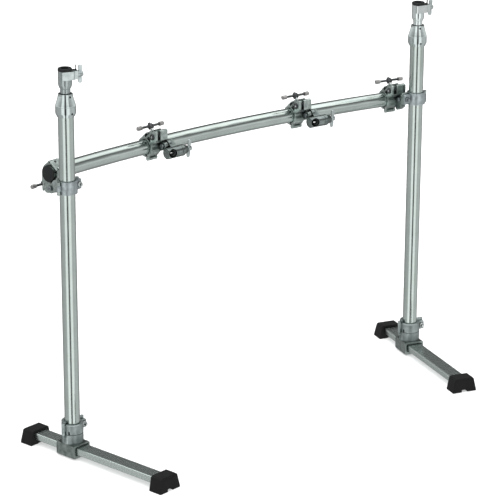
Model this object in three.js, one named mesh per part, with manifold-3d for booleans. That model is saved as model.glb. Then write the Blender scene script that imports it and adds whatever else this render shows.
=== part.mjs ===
// Drum rack frame: two T-footed posts joined by a curved cross bar.
// Millimetres, +Z up. X runs from the left post to the right post, the
// front of the frame (the side the player sits on) is -Y, the floor is z = 0.
import * as THREE from 'three';
import { mergeVertices } from 'three/addons/utils/BufferGeometryUtils.js';
import Module from 'manifold-3d';

const wasm = await Module();
wasm.setup();

// ---------------------------------------------------------------- dimensions
const ORIGIN_X = -8.45;          // the posts' middle stands this far from the box centre
const ORIGIN_Y = 87.29;          // the posts' line stands this far behind the box centre
const POST_SPACING = 1130;       // between the post axes
const TUBE_R = 19.05;            // post and bar tube, 38.1 mm outside diameter
const TUBE_WALL = 1.6;
const POST_BOTTOM = 39;
const POST_TOP = 889;
const BAR_Z = 703.3;             // bar axis above the floor
const BAR_BACK = 75;             // bar axis behind the post axes, at the posts
const BAR_SAG = 50;              // how far the bar bows backwards at mid span
const BAR_END = 566;             // bar reaches this far from the middle, in X
const LEG_ANGLE_L = 9.5;         // degrees, front end of the leg towards the middle
const LEG_ANGLE_R = -16.5;
const LEG_W = 40.5, LEG_H = 17.5, LEG_TOP = 30.6, LEG_WALL = 1.6;
const LEG_FRONT = 289, LEG_REAR = 112;   // post axis to the feet
const FOOT_IN = 25;              // leg inside each foot
const FOOT_H = 38, FOOT_TOP_W = 52.5, FOOT_BOT_W = 68, FOOT_LEN = 36.4;
const BASE_R = 27;               // collar of the base casting
const RING_R = 24.6;             // clamp rings on the posts
const BORE_R = 19.75;            // bores that grip the tubes
const CLAMP_HALF = 15;           // half width of a bar clamp
const PIN = [-29, 31];           // barrel nut of a bar clamp (y, z) from the bar axis
const BOLT_ANGLE = 50;           // T bolt above the horizontal, degrees
const BOLT_X = -4;               // T bolt off the clamp's middle
const HINGE = [-9.5, -28.5];     // jaw hinge (y, z)
const T_ROD_HALF = 42;           // T handle, half length
const ACC_X = [-233.7, 239.8];   // accessory clamps, X of their middles
const END_X = [-547.5, 537.8];   // end clamps
const RING_Z = [-14, 16.5];      // middle of each post ring from the bar axis
const RING_H = 32;
const LEFT_ROLL = 57;            // the left end clamp is turned about the bar
const BALL_R = 12, BALL_HOLE_R = 5.3;
const FERRULE_Z = [861, 916.5];
const SOCKET_TOP = 971;
const WING_AZIMUTH = [-17, -12]; // socket wing screws, from +X towards the rear, left and right

// ------------------------------------------------------------------- helpers
const rad = (d) => (d * Math.PI) / 180;
const facets = (n) => Math.max(8, 2 * Math.round(n * 0.24));   // sides of round forms
function solid(geometry) {
  const g = geometry.index ? geometry.clone() : geometry.clone();
  for (const name of ['normal', 'uv', 'uv1', 'uv2']) g.deleteAttribute(name);
  const m = mergeVertices(g, 1e-4);
  return new wasm.Manifold(new wasm.Mesh({
    numProp: 3,
    vertProperties: Float32Array.from(m.attributes.position.array),
    triVerts: Uint32Array.from(m.index.array),
  }));
}
function surface(manifold) {
  const mesh = manifold.getMesh();
  const n = mesh.numProp;
  const count = mesh.vertProperties.length / n;
  const pos = new Float32Array(count * 3);
  for (let i = 0; i < count; i += 1) {
    for (let k = 0; k < 3; k += 1) pos[3 * i + k] = mesh.vertProperties[n * i + k];
  }
  const g = new THREE.BufferGeometry();
  g.setAttribute('position', new THREE.BufferAttribute(pos, 3));
  g.setIndex(new THREE.BufferAttribute(Uint32Array.from(mesh.triVerts), 1));
  const m = mergeVertices(g, 2e-4);
  m.computeVertexNormals();
  return m;
}
// shape axes (first, second) and depth axis -> object axes
function toYZ(g) {                 // drawn in (y, z), depth along X
  g.applyMatrix4(new THREE.Matrix4().set(0, 0, 1, 0, 1, 0, 0, 0, 0, 1, 0, 0, 0, 0, 0, 1));
  return g;
}
function toXZ(g) {                 // drawn in (x, z), depth along -Y
  g.applyMatrix4(new THREE.Matrix4().set(1, 0, 0, 0, 0, 0, -1, 0, 0, 1, 0, 0, 0, 0, 0, 1));
  return g;
}
function prism(points, depth) {
  const shape = new THREE.Shape(points.map(([a, b]) => new THREE.Vector2(a, b)));
  return new THREE.ExtrudeGeometry(shape, { depth, bevelEnabled: false });
}
function slabYZ(points, x0, x1) {
  const g = toYZ(prism(points, x1 - x0));
  g.translate(x0, 0, 0);
  return solid(g);
}
function slabXY(points, z0, z1) {
  const g = prism(points, z1 - z0);
  g.translate(0, 0, z0);
  return solid(g);
}
function slabXZ(points, y0, y1) {
  const g = toXZ(prism(points, y1 - y0));
  g.translate(0, y1, 0);
  return solid(g);
}
function box(x0, x1, y0, y1, z0, z1) {
  const g = new THREE.BoxGeometry(x1 - x0, y1 - y0, z1 - z0);
  g.translate((x0 + x1) / 2, (y0 + y1) / 2, (z0 + z1) / 2);
  return solid(g);
}
function rod(from, to, r0, r1 = r0, seg = 20) {     // cylinder or cone between two points
  const a = new THREE.Vector3(...from), b = new THREE.Vector3(...to);
  const d = b.clone().sub(a);
  const g = new THREE.CylinderGeometry(r1, r0, d.length(), facets(seg), 1);
  g.applyQuaternion(new THREE.Quaternion().setFromUnitVectors(new THREE.Vector3(0, 1, 0), d.clone().normalize()));
  g.translate((a.x + b.x) / 2, (a.y + b.y) / 2, (a.z + b.z) / 2);
  return solid(g);
}
function ball(c, r, seg = 24) {
  const g = new THREE.SphereGeometry(r, facets(seg), facets(seg) / 2);
  g.translate(...c);
  return solid(g);
}
function turned(profile, seg = 32) {                // [radius, z] pairs turned about Z
  const g = new THREE.LatheGeometry(profile.map(([r, z]) => new THREE.Vector2(r, z)), facets(seg));
  g.rotateX(Math.PI / 2);
  let s = solid(g);
  if (s.volume() < 0) throw new Error('profile direction');
  return s;
}
function arc(r, a0, a1, steps, c = [0, 0]) {
  const out = [];
  const n = Math.max(2, Math.ceil(steps * 0.42));
  for (let i = 0; i <= n; i += 1) {
    const t = rad(a0 + ((a1 - a0) * i) / n);
    out.push([c[0] + r * Math.cos(t), c[1] + r * Math.sin(t)]);
  }
  return out;
}
const ring = (r, n) => Array.from({ length: n }, (_, i) => [r * Math.cos(rad((360 * i) / n)), r * Math.sin(rad((360 * i) / n))]);
const join = (...s) => s.reduce((a, b) => a.add(b));
const cut = (s, ...t) => t.reduce((a, b) => a.subtract(b), s);

// ----------------------------------------------------------------- materials
const mat = (color, roughness, metalness) => new THREE.MeshStandardMaterial({ color, roughness, metalness });
const M = {
  tube: () => mat(0xa9aeab, 0.32, 1.0),
  chrome: () => mat(0xc6cccb, 0.16, 1.0),
  cast: () => mat(0x7f8a89, 0.42, 0.8),
  leg: () => mat(0x7d8482, 0.5, 0.7),
  rubber: () => mat(0x1b1b1c, 0.8, 0.0),
  plastic: () => mat(0x151718, 0.45, 0.0),
  knob: () => mat(0xa8a3a2, 0.35, 0.9),
  bolt: () => mat(0x9aa0a0, 0.3, 1.0),
};

const root = new THREE.Group();
const frame = new THREE.Group();
frame.position.set(ORIGIN_X, ORIGIN_Y, 0);
root.add(frame);
function put(parent, name, s, material) {
  const mesh = new THREE.Mesh(surface(s), material);
  mesh.name = name;
  parent.add(mesh);
  return mesh;
}

// ------------------------------------------------------------------ the bar
const HALF = POST_SPACING / 2;
const BAR_RADIUS = (HALF * HALF + BAR_SAG * BAR_SAG) / (2 * BAR_SAG);
const ARC_Y = BAR_BACK + BAR_SAG - BAR_RADIUS;       // centre of the bar's arc
const barPoint = (x) => [x, ARC_Y + Math.sqrt(BAR_RADIUS * BAR_RADIUS - x * x)];
const barTurn = (x) => -Math.asin(x / BAR_RADIUS);   // tangent's turn about Z

function barTube() {
  const steps = 14, seg = 16;
  const a = Math.asin(BAR_END / BAR_RADIUS);
  class Bow extends THREE.Curve {
    getPoint(t, target = new THREE.Vector3()) {
      const u = -a + 2 * a * t;
      return target.set(BAR_RADIUS * Math.sin(u), ARC_Y + BAR_RADIUS * Math.cos(u), BAR_Z);
    }
  }
  const make = (r, n) => {
    const shape = new THREE.Shape(ring(r, seg).map(([p, q]) => new THREE.Vector2(p, q)));
    return solid(new THREE.ExtrudeGeometry(shape, { steps: n, extrudePath: new Bow(), bevelEnabled: false }));
  };
  const outer = make(TUBE_R, steps);
  // the bore is the same arc, run a little past both ends
  const long = Math.asin((BAR_END + 6) / BAR_RADIUS);
  class Bore extends THREE.Curve {
    getPoint(t, target = new THREE.Vector3()) {
      const u = -long + 2 * long * t;
      return target.set(BAR_RADIUS * Math.sin(u), ARC_Y + BAR_RADIUS * Math.cos(u), BAR_Z);
    }
  }
  const shape = new THREE.Shape(ring(TUBE_R - TUBE_WALL, 12).map(([p, q]) => new THREE.Vector2(p, q)));
  const inner = solid(new THREE.ExtrudeGeometry(shape, { steps: 14, extrudePath: new Bore(), bevelEnabled: false }));
  return cut(outer, inner);
}
put(frame, 'bar_tube', barTube(), M.tube());

function barCap(side) {
  // plug and flange on the bar's end, drawn along X and turned into place
  const g = new THREE.Group();
  const [x, y] = barPoint(side * BAR_END);
  g.position.set(x, y, BAR_Z);
  g.rotation.z = barTurn(side * BAR_END);
  const s = join(
    rod([side * 0.3, 0, 0], [side * 2.6, 0, 0], 20.6, 20.6, 32),
    rod([side * 2.6, 0, 0], [side * 4.4, 0, 0], 20.6, 18.8, 32),
    rod([side * 0.6, 0, 0], [side * -16, 0, 0], 16.6, 16.2, 24),
  );
  put(g, side < 0 ? 'bar_end_cap_left' : 'bar_end_cap_right', s, M.plastic());
  frame.add(g);
}
barCap(-1);
barCap(1);

// -------------------------------------------------------------- bar clamps
const B = [Math.cos(rad(BOLT_ANGLE)), Math.sin(rad(BOLT_ANGLE))];
const C = [Math.sin(rad(BOLT_ANGLE)), -Math.cos(rad(BOLT_ANGLE))];
const bp = (a, l) => [PIN[0] + a * B[0] + l * C[0], PIN[1] + a * B[1] + l * C[1]];
const W = CLAMP_HALF;

function clampBody({ blockTo, boss, bossR, bossTo, skirt, round }) {
  const lug = round
    ? [bp(9.8, -3.6), ...arc(10.5, BOLT_ANGLE + 21, BOLT_ANGLE + 140, 16, PIN)]
    : [bp(9.8, -11), [-34.5, 47], [-39.5, 46.2], [-42.4, 42.5], [-43, 38], [-43, 23]];
  const outline = [bp(9.8, 31), ...lug, [-37, 16.5], [-29, 11.5], ...arc(27, 160, 244, 9), [-6, -18]];
  let s = slabYZ(outline, -W, W);
  // the wide right-hand block of the front lug
  const block = [[-43, 21], [-43, 41.5], [-41.6, 45.4], [-38, 47.5], [-33.6, 47.5], bp(9.8, -11), bp(9.8, 6), [-21, 21], [-30, 15]];
  if (!round) s = join(s, slabYZ(block, 0.5, blockTo));
  // boss that the holder or the post arm is bolted to
  s = join(s, rod([boss[2], boss[0], boss[1]], [bossTo, boss[0], boss[1]], bossR, bossR, 28));
  if (skirt) s = join(s, slabYZ(skirt, boss[2], bossTo));
  s = join(s, slabYZ([[-20, -12], [-24, 14], [boss[0], boss[1] + bossR * 0.96], [boss[0], boss[1] - bossR * 0.96]], Math.max(boss[2], 2), Math.min(bossTo, W)));
  // hinge knuckles at the bottom
  const knuckle = (x0, x1) => join(
    rod([x0, ...HINGE], [x1, ...HINGE], 5.4, 5.4, 20),
    slabYZ([[-14, -23], [-8.5, -24.6], [HINGE[0] + 3.4, HINGE[1] + 2], [HINGE[0] - 4.9, HINGE[1] - 1.5]], x0, x1),
  );
  s = join(s, knuckle(-W, -8.2), knuckle(8.2, W));
  s = cut(s,
    rod([-40, 0, 0], [60, 0, 0], BORE_R, BORE_R, 36),
    rod([-8.2, ...HINGE], [8.2, ...HINGE], 5.9, 5.9, 20),
    slabYZ([bp(9.8, 40), bp(9.8, -30), bp(40, -30), [60, 60], [60, -60], [-3, -60], [-3, -20], [-6, -18]], -60, 60).intersect(box(-60, 60, -5.9, 60, -60, 60)),
    box(BOLT_X - 4.5, BOLT_X + 4.5, -60, -14, 23.5, 70),
    rod([-30, ...PIN], [9, ...PIN], 6.9, 6.9, 20),
    rod([boss[2] - 30, boss[0], boss[1]], [90, boss[0], boss[1]], 4.3, 4.3, 16),
  );
  // the jaw's hinge pin is pressed into the body's knuckles
  s = join(s, rod([-W, ...HINGE], [W, ...HINGE], 2.4, 2.4, 12));
  return s;
}
function clampJaw(flat) {
  // the left end jaw has a flat with a ridge behind it instead of a round back
  const back = flat
    ? [...arc(25.6, 62, -12, 12), [27.4, -9.5], [27.4, -14], [25, -16.9], [-4.7, -25.9]]
    : arc(25.6, 62, -98, 24);
  const outline = [
    bp(10.2, 31), bp(10.2, -7.5), ...arc(17.2, BOLT_ANGLE + 36, BOLT_ANGLE, 8, PIN), bp(17.2, 9), bp(19.2, 10), bp(20.5, 12), bp(20.5, 21),
    [6.5, 28.2], [11, 23.6], ...back, [-3.2, -18.5],
  ];
  let s = slabYZ(outline, -W, W);
  if (flat) {
    s = cut(s,
      rod([0, 20.9, -20.7], [0, 19.5, -16.1], 3.2, 3.2, 20),          // screw hole in the flat
      rod([-W - 1, 22.6, -13.4], [-W + 1.6, 22.6, -13.4], 2, 2, 16),  // dimples in the ridge's ends
      rod([W - 1.6, 22.6, -13.4], [W + 1, 22.6, -13.4], 2, 2, 16),
    );
  }
  s = join(s,
    rod([-7.8, ...HINGE], [7.8, ...HINGE], 5.4, 5.4, 20),
    slabYZ([[HINGE[0] - 2, HINGE[1] - 4.6], [HINGE[0] + 4, HINGE[1] + 3.4], [-3.4, -19.8], [4, -25.4]], -7.8, 7.8),
  );
  s = cut(s,
    rod([-40, 0, 0], [40, 0, 0], BORE_R, BORE_R, 36),
    rod([-20, ...HINGE], [-7.8, ...HINGE], 5.9, 5.9, 20),
    rod([7.8, ...HINGE], [20, ...HINGE], 5.9, 5.9, 20),
    rod([-20, ...HINGE], [20, ...HINGE], 2.9, 2.9, 12),
    slabYZ([bp(8, 4.7), bp(8, -30), bp(24, -30), bp(24, 4.7)], BOLT_X - 4.5, BOLT_X + 4.5),
  );
  // the bore is eased where it passes the bar as the jaw swings open
  for (const t of [5, 10, 15, 20, 26]) {
    const y = HINGE[0] + (-HINGE[0]) * Math.cos(rad(t)) + HINGE[1] * Math.sin(rad(t));
    const z = HINGE[1] + (-HINGE[1]) * Math.cos(rad(t)) - HINGE[0] * Math.sin(rad(t));
    s = cut(s, rod([-40, y, z], [40, y, z], TUBE_R + 0.5, TUBE_R + 0.5, 36));
  }
  return s;
}
function barrelNut() {
  return join(
    rod([-15.4, ...PIN], [8.6, ...PIN], 6, 6, 20),
    rod([-17.2, ...PIN], [-15.3, ...PIN], 7.6, 7.6, 24),
    rod([-18.2, ...PIN], [-17.2, ...PIN], 6.2, 7.6, 24),
  );
}
function tBolt() {
  const at = (a) => [BOLT_X, ...bp(a, 0)];
  const rx = (x) => [BOLT_X + x, ...bp(30, 0)];
  return join(
    rod(at(6.6), at(23), 4, 4, 16),
    rod(at(22.6), at(24), 6.4, 7.4, 20),
    rod(at(24), at(33.4), 7.4, 7.2, 20),
    rod(at(33.4), at(35), 7.2, 5, 20),
    rod(at(34.6), at(38.6), 4, 3.2, 16),
    rod(rx(-31), rx(31), 3.1, 3.1, 12),
    rod(rx(-T_ROD_HALF), rx(-T_ROD_HALF + 14), 5.4, 5.4, 16),
    rod(rx(T_ROD_HALF - 14), rx(T_ROD_HALF), 5.4, 5.4, 16),
  );
}
function couplingBolt(boss, x0, x1, headSide) {
  const y = boss[0], z = boss[1];
  return headSide < 0
    ? join(rod([x0 - 5, y, z], [x0 - 0.3, y, z], 6.2, 6.2, 20), rod([x0 - 0.5, y, z], [x1, y, z], 4, 4, 16))
    : join(rod([x1 + 0.3, y, z], [x1 + 5, y, z], 6.2, 6.2, 20), rod([x0, y, z], [x1 + 0.5, y, z], 4, 4, 16));
}

// --------------------------------------------- clamp rings that open as doors
// Drawn about the post axis at (0, 0). The door is the front half (y < 0), its
// hinge is on the -X side and its bolted ears are on the +X side.
const EAR = [20, 39.5];
const KEY_X = 32.5;
function ringBack(r, z0, z1, hx, knuckles, earZ) {
  let s = slabXY([[r, 0.3], ...arc(r, 2, 178, 20), [-r, 0.3]], z0, z1);
  s = join(s, box(EAR[0], EAR[1], 0.3, 8.6, earZ[0], earZ[1]));
  for (const [k0, k1] of knuckles) {
    s = join(s, rod([hx, 0, k0], [hx, 0, k1], 4.4, 4.4, 18), box(hx + 0.5, -r + 3.5, 0.3, 4.4, k0, k1));
  }
  return s;
}
function ringDoor(r, z0, z1, hx, knuckle, earZ) {
  let s = slabXY([[-r, -0.3], ...arc(r, 182, 358, 20), [r, -0.3]], z0, z1);
  s = join(s, box(EAR[0], EAR[1], -8.6, -0.3, earZ[0], earZ[1]));
  s = join(s, rod([hx, 0, knuckle[0]], [hx, 0, knuckle[1]], 4.4, 4.4, 18), box(hx + 0.5, -r + 3.5, -4.4, -0.3, knuckle[0], knuckle[1]));
  return s;
}
function doorCuts(s, z0, z1, hx, clear, boltZ, hole, face) {
  s = cut(s,
    rod([0, 0, z0 - 30], [0, 0, z1 + 30], BORE_R, BORE_R, 40),
    rod([KEY_X, -20, boltZ], [KEY_X, 20, boltZ], hole, hole, 14),
  );
  if (face) s = cut(s, rod([KEY_X, -8.6, boltZ], [KEY_X, -30, boltZ], face, face, 22));
  for (const [k0, k1] of clear) s = cut(s, rod([hx, 0, k0], [hx, 0, k1], 4.9, 4.9, 18));
  return s;
}
function keyBolt(boltZ, headR) {
  // round flange and square drive, captive in the door's ear
  return join(
    rod([KEY_X, 7, boltZ], [KEY_X, -9, boltZ], 3.1, 3.1, 14),
    rod([KEY_X, -8.9, boltZ], [KEY_X, -11.4, boltZ], headR, headR, 22),
    rod([KEY_X, -11.3, boltZ], [KEY_X, -12.6, boltZ], headR - 1, headR - 2.4, 22),
    box(KEY_X - 2.8, KEY_X + 2.8, -18, -12.5, boltZ - 2.8, boltZ + 2.8),
  );
}

// ---------------------------------------------------------- accessory clamps
const ACC_BOSS = [-36, 4, 13];                 // y, z, and where it starts in x
const HOLD = [-57.5, -10];                     // axis of the holder's barrel
function holder() {
  let s = join(
    rod([6, ...HOLD], [8, ...HOLD], 12.5, 14.3, 28),
    rod([8, ...HOLD], [50, ...HOLD], 14.3, 14.3, 28),
    rod([24.3, -36, 4], [33, -36, 4], 14, 14, 28),
    slabYZ([[-30, 15], [-36, 18], [-56, 4.2], [-66, 2], [-57.5, -10], [-45, -16], [-30, -8]], 24.3, 44),
  );
  const ballC = [26, ...HOLD];
  s = cut(s,
    ball(ballC, BALL_R + 1.2, 28),
    rod([26 - 16, HOLD[0] - 26, HOLD[1] + 3], [26, HOLD[0], HOLD[1]], 10.6, 10.6, 28),
    rod([26 - 16, HOLD[0] - 26, HOLD[1] + 3], [26 - 8.6, HOLD[0] - 14, HOLD[1] + 1.6], 14, 10.6, 28),
    rod([26, HOLD[0] + 13.9, HOLD[1]], [26, HOLD[0] + 26, HOLD[1]], 8, 8, 20).intersect(box(0, 60, -200, -40, -60, 60)),
    rod([36.8, ...HOLD], [60, ...HOLD], 8.6, 8.6, 24),
    rod([14, -36, 4], [45, -36, 4], 4.8, 4.8, 16),
    box(20.5, 45, -48, -41, -16, -14.3),
  );
  return s;
}
function holderBall(turn) {
  const d = [-Math.sin(turn.az) * Math.cos(turn.el), -Math.cos(turn.az) * Math.cos(turn.el), Math.sin(turn.el)];
  const c = [26, ...HOLD];
  const p = (t) => [c[0] + d[0] * t, c[1] + d[1] * t, c[2] + d[2] * t];
  let s = ball(c, BALL_R, 26);
  s = cut(s, rod(p(-20), p(20), BALL_HOLE_R, BALL_HOLE_R, 18), rod(p(10.2), p(20), 14, 14, 20), rod(p(-20), p(-10.2), 14, 14, 20));
  return s;
}
function holderCap() {
  let s = join(
    rod([38.6, ...HOLD], [51, ...HOLD], 8.2, 8.2, 24),
    rod([50.4, ...HOLD], [52, ...HOLD], 13.2, 14.6, 28),
    rod([52, ...HOLD], [60, ...HOLD], 14.6, 14.6, 28),
    rod([60, ...HOLD], [74, ...HOLD], 13.6, 9.4, 28),
  );
  return cut(s, rod([48, ...HOLD], [90, ...HOLD], 4.7, 4.7, 16), ball([26, ...HOLD], BALL_R + 1.2, 28));
}
function wing(x0, x1, span, thick, tilt) {
  // two blades and a hub about the X axis, hub from x0 to x1
  const d = x1 - x0;
  const blade = [[x0 + d * 0.18, -5], [x0 + d * 0.3, 5], [x0 + d * 0.12, span * 0.62], [x0 + d * 0.2, span - 2.5], [x0 + d * 0.42, span],
    [x0 + d * 0.72, span - 1], [x0 + d * 0.9, span - 5], [x0 + d * 0.86, span * 0.5], [x0 + d * 0.78, 5], [x0 + d * 0.8, -5]];
  const up = slabXZ(blade, -thick / 2, thick / 2);
  const down = slabXZ(blade.map(([x, z]) => [x, -z]).reverse(), -thick / 2, thick / 2);
  let s = join(rod([x0, 0, 0], [x0 + d * 0.35, 0, 0], 7.2, 7.2, 20), rod([x0 + d * 0.35, 0, 0], [x1, 0, 0], 7.2, 5.4, 20), up, down);
  const g = surface(s);
  g.rotateX(rad(tilt));
  return solid(g);
}
function holderWing() {
  const g = surface(join(wing(74.6, 88, 24, 4.2, 8), rod([53, 0, 0], [75, 0, 0], 4, 4, 16)));
  g.translate(0, HOLD[0], HOLD[1]);
  return solid(g);
}

['left', 'right'].forEach((side, i) => {
  const g = new THREE.Group();
  const [x, y] = barPoint(ACC_X[i]);
  const turn = barTurn(ACC_X[i]);
  g.position.set(x, y, BAR_Z);
  g.rotation.z = turn;
  frame.add(g);
  const n = (s) => `accessory_clamp_${side}_${s}`;
  put(g, n('body'), clampBody({ blockTo: 24, boss: ACC_BOSS, bossR: 11, bossTo: 24 }), M.cast());
  put(g, n('jaw'), clampJaw(), M.cast());
  put(g, n('barrel_nut'), barrelNut(), M.bolt());
  put(g, n('t_bolt'), tBolt(), M.knob());
  put(g, n('coupling_bolt'), couplingBolt(ACC_BOSS, 13, 32, -1), M.bolt());
  put(g, `holder_${side}_body`, holder(), M.cast());
  put(g, `holder_${side}_ball`, holderBall({ az: rad(39.5) + turn, el: rad(15.8) }), M.plastic());
  put(g, `holder_${side}_cap`, holderCap(), M.cast());
  put(g, `holder_${side}_wing_bolt`, holderWing(), M.chrome());
});

// ------------------------------------------------------------- end clamps
const KN = (z0) => ({ fixed: [[z0, z0 + 9], [z0 + 23, z0 + 32]], door: [z0 + 9.4, z0 + 22.6] });
const RING_HX = -28.6;
function endSide(i) {
  const side = ['left', 'right'][i];
  const [x, y] = barPoint(END_X[i]);
  const turn = barTurn(END_X[i]);
  const g = new THREE.Group();                  // local frame on the bar
  g.position.set(x, y, BAR_Z);
  g.rotation.z = turn;
  frame.add(g);
  // the clamp itself: upright on the right, turned over and rolled on the left
  const c = new THREE.Group();
  if (i === 0) {
    c.rotation.order = 'XYZ';
    c.quaternion.setFromEuler(new THREE.Euler(rad(LEFT_ROLL), 0, 0))
      .multiply(new THREE.Quaternion().setFromEuler(new THREE.Euler(0, Math.PI, 0)));
  }
  g.add(c);
  const n = (s) => `end_clamp_${side}_${s}`;
  const boss = i === 0 ? [-34.2, 7.9, 5] : [-36, 6, 13];
  const body = i === 0
    ? clampBody({ blockTo: 15, boss, bossR: 13, bossTo: 15, round: true })
    : clampBody({ blockTo: 28, boss, bossR: 15, bossTo: 28,
      skirt: [[-20, -25.5], [-28, -25.5], [-43, -15], [-46, 0], [-46, 12], [-43, 21], [-43, 30], [-22, 30], [-20, 12]] });
  put(c, n('body'), body, M.cast());
  put(c, n('jaw'), clampJaw(i === 0), M.cast());
  put(c, n('barrel_nut'), barrelNut(), M.bolt());
  put(c, n('t_bolt'), tBolt(), M.knob());
  put(c, n('coupling_bolt'), i === 0 ? couplingBolt(boss, 6, 26, 1) : couplingBolt(boss, 13, 37, -1), M.bolt());

  // post axis seen from the local frame
  const dx = (i === 0 ? -HALF : HALF) - x, dy = -y;
  const px = dx * Math.cos(turn) + dy * Math.sin(turn);
  const py = -dx * Math.sin(turn) + dy * Math.cos(turn);
  const z0 = RING_Z[i] - RING_H / 2, z1 = RING_Z[i] + RING_H / 2;
  const kn = KN(z0);
  const r = new THREE.Group();                  // about the post axis
  r.position.set(px, py, 0);
  g.add(r);
  const shift = (s, sx, sy) => { const t = surface(s); t.translate(sx, sy, 0); return solid(t); };
  const hand = (s) => (i === 0 ? s : s.mirror([1, 0, 0]));     // the right ring is the left one's mirror image
  let arm;
  if (i === 0) {
    // disc on the left face of the clamp, web forward to the ring
    const roll = rad(LEFT_ROLL);
    const by = boss[0] * Math.cos(roll) + boss[1] * Math.sin(roll);
    const bz = boss[0] * Math.sin(roll) - boss[1] * Math.cos(roll);
    arm = join(
      rod([-25.7, by, bz], [-15.3, by, bz], 12.6, 12.6, 28),
      slabYZ([[by + 3, bz - 12.2], [-30, -40], [-52, -29], [-54, -10], [-54, 1.5], [-46, 1.5], [-30, -8], [-23, -10.5], [-15, -20.5], [by + 4, bz + 11.8]], -25.7, -15.3),
      slabYZ([[-44, -29.5], [-54, -29.5], [-54, 1.5], [-44, 1.5]], -38, -15.3),
    );
    arm = cut(arm, rod([-40, by, bz], [-10, by, bz], 4.8, 4.8, 16));
  } else {
    arm = join(
      rod([28.3, boss[0], boss[1]], [38.3, boss[0], boss[1]], 14.6, 14.6, 28),
      slabYZ([[-30, -6], [-30, 18], [-40, 21], [-60, 21], [-60, 0.6], [-52, -5], [-40, -7]], 28.3, 42),
    );
    arm = cut(arm, rod([20, boss[0], boss[1]], [37.6, boss[0], boss[1]], 4.3, 4.3, 16));
  }
  let back = ringBack(RING_R, z0, z1, RING_HX, kn.fixed, [z0, z1]);
  back = join(hand(shift(arm, -px, -py)), back);
  back = doorCuts(back, z0, z1, RING_HX, [[kn.door[0] - 0.4, kn.door[1] + 0.4]], RING_Z[i], 4, 0);
  // nothing of the arm reaches past the door's half
  back = cut(back, box(-60, 80, -60, -0.02, z0 - 40, z1 + 40).subtract(rod([RING_HX, 0, z0 - 41], [RING_HX, 0, z1 + 41], 4.45, 4.45, 18)));
  back = join(back, rod([RING_HX, 0, z0], [RING_HX, 0, z1], 2.1, 2.1, 12));
  put(r, `post_ring_${side}_arm`, hand(back), M.cast());
  let door = ringDoor(RING_R, z0, z1, RING_HX, kn.door, [z0 + 3, z1 - 3]);
  door = doorCuts(door, z0, z1, RING_HX, [[z0 - 1, z0 + 9.4], [z1 - 9.4, z1 + 1]], RING_Z[i], 3.7, 7.4);
  door = cut(door, rod([RING_HX, 0, z0 - 1], [RING_HX, 0, z1 + 1], 2.6, 2.6, 12));
  put(r, `post_ring_${side}_door`, hand(door), M.cast());
  put(r, `post_ring_${side}_key_bolt`, hand(keyBolt(RING_Z[i], 6.6)), M.bolt());
}
endSide(0);
endSide(1);

// -------------------------------------------------------------- the stands
function legTube() {
  const y0 = -(LEG_FRONT + FOOT_IN), y1 = LEG_REAR + FOOT_IN;
  const w = LEG_W / 2, z1 = LEG_TOP, z0 = LEG_TOP - LEG_H, c = 2.2, t = LEG_WALL;
  const outer = [[-w + c, z0], [w - c, z0], [w, z0 + c], [w, z1 - c], [w - c, z1], [-w + c, z1], [-w, z1 - c], [-w, z0 + c]];
  return cut(slabXZ(outer, y0, y1), box(-w + t, w - t, y0 - 1, y1 + 1, z0 + t, z1 - t));
}
function foot(front) {
  const d = front ? -1 : 1;
  const yi = d * (front ? LEG_FRONT : LEG_REAR);          // inner face
  const yo = yi + d * FOOT_LEN;
  const w0 = FOOT_BOT_W / 2, w1 = FOOT_TOP_W / 2;
  const face = [[-w0, 0], [-9, 0], [-7, 2.4], [7, 2.4], [9, 0], [w0, 0], [w0, 4], [w1 + 1.4, FOOT_H - 4], [w1 - 3, FOOT_H], [-w1 + 3, FOOT_H], [-w1 - 1.4, FOOT_H - 4], [-w0, 4]];
  const side = [[yi, 0], [yo + d * 1.5, 0], [yo + d * 1.5, 3], [yo - d * 1.6, FOOT_H - 3], [yo - d * 4.5, FOOT_H], [yi + d * 1, FOOT_H], [yi, FOOT_H - 2]];
  const pts = d < 0 ? side.slice().reverse() : side;
  let s = slabXZ(face, Math.min(yi, yo) - 5, Math.max(yi, yo) + 5).intersect(slabYZ(pts, -60, 60));
  const w = LEG_W / 2 + 0.3;
  const [p0, p1] = [yi - d * 2, yi + d * (FOOT_IN + 0.4)].sort((a, b) => a - b);
  s = cut(s, box(-w, w, p0, p1, LEG_TOP - LEG_H - 0.3, LEG_TOP + 0.3));
  const [q0, q1] = [yo - d * 5, yo + d * 4].sort((a, b) => a - b);
  s = cut(s, box(-5.5, 5.5, q0, q1, -1, 6));
  return s;
}
const DOOR_Z = [61.4, 87];
function baseCasting() {
  let s = join(
    slabXY([[-26.5, -28], [-23.5, -31], [23.5, -31], [26.5, -28], [26.5, 26], [23.5, 29], [-23.5, 29], [-26.5, 26]], 4, 36),
    rod([0, 0, 34], [0, 0, 38.5], 29.2, BASE_R, 40),
    rod([0, 0, 34], [0, 0, 61], BASE_R, BASE_R, 40),
  );
  const back = ringBack(BASE_R, 60.5, 96, -31, [[60.5, 70], [87, 96]], [60.5, 96]);
  s = join(s, back);
  s = join(s, rod([-31, 0, 52], [-31, 0, 61], 2.6, 4.4, 18).intersect(box(-40, 0, -10, 10, 50, 61)), box(-31, -24, -3.5, 4.4, 52, 61));
  const w = LEG_W / 2 + 0.3;
  s = cut(s,
    box(-w, w, -60, 60, LEG_TOP - LEG_H - 0.3, LEG_TOP + 0.3),
    rod([0, 0, 38.7], [0, 0, 120], BORE_R, BORE_R, 40),
    rod([-31, 0, 70], [-31, 0, 87], 4.9, 4.9, 18),
    rod([KEY_X, -20, 74.2], [KEY_X, 20, 74.2], 4, 4, 14),
    box(-60, 80, -60, -0.02, 61, 130).subtract(rod([-31, 0, 40], [-31, 0, 131], 4.45, 4.45, 18)),
  );
  return join(s, rod([-31, 0, 61], [-31, 0, 96], 2.1, 2.1, 12));
}
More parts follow.
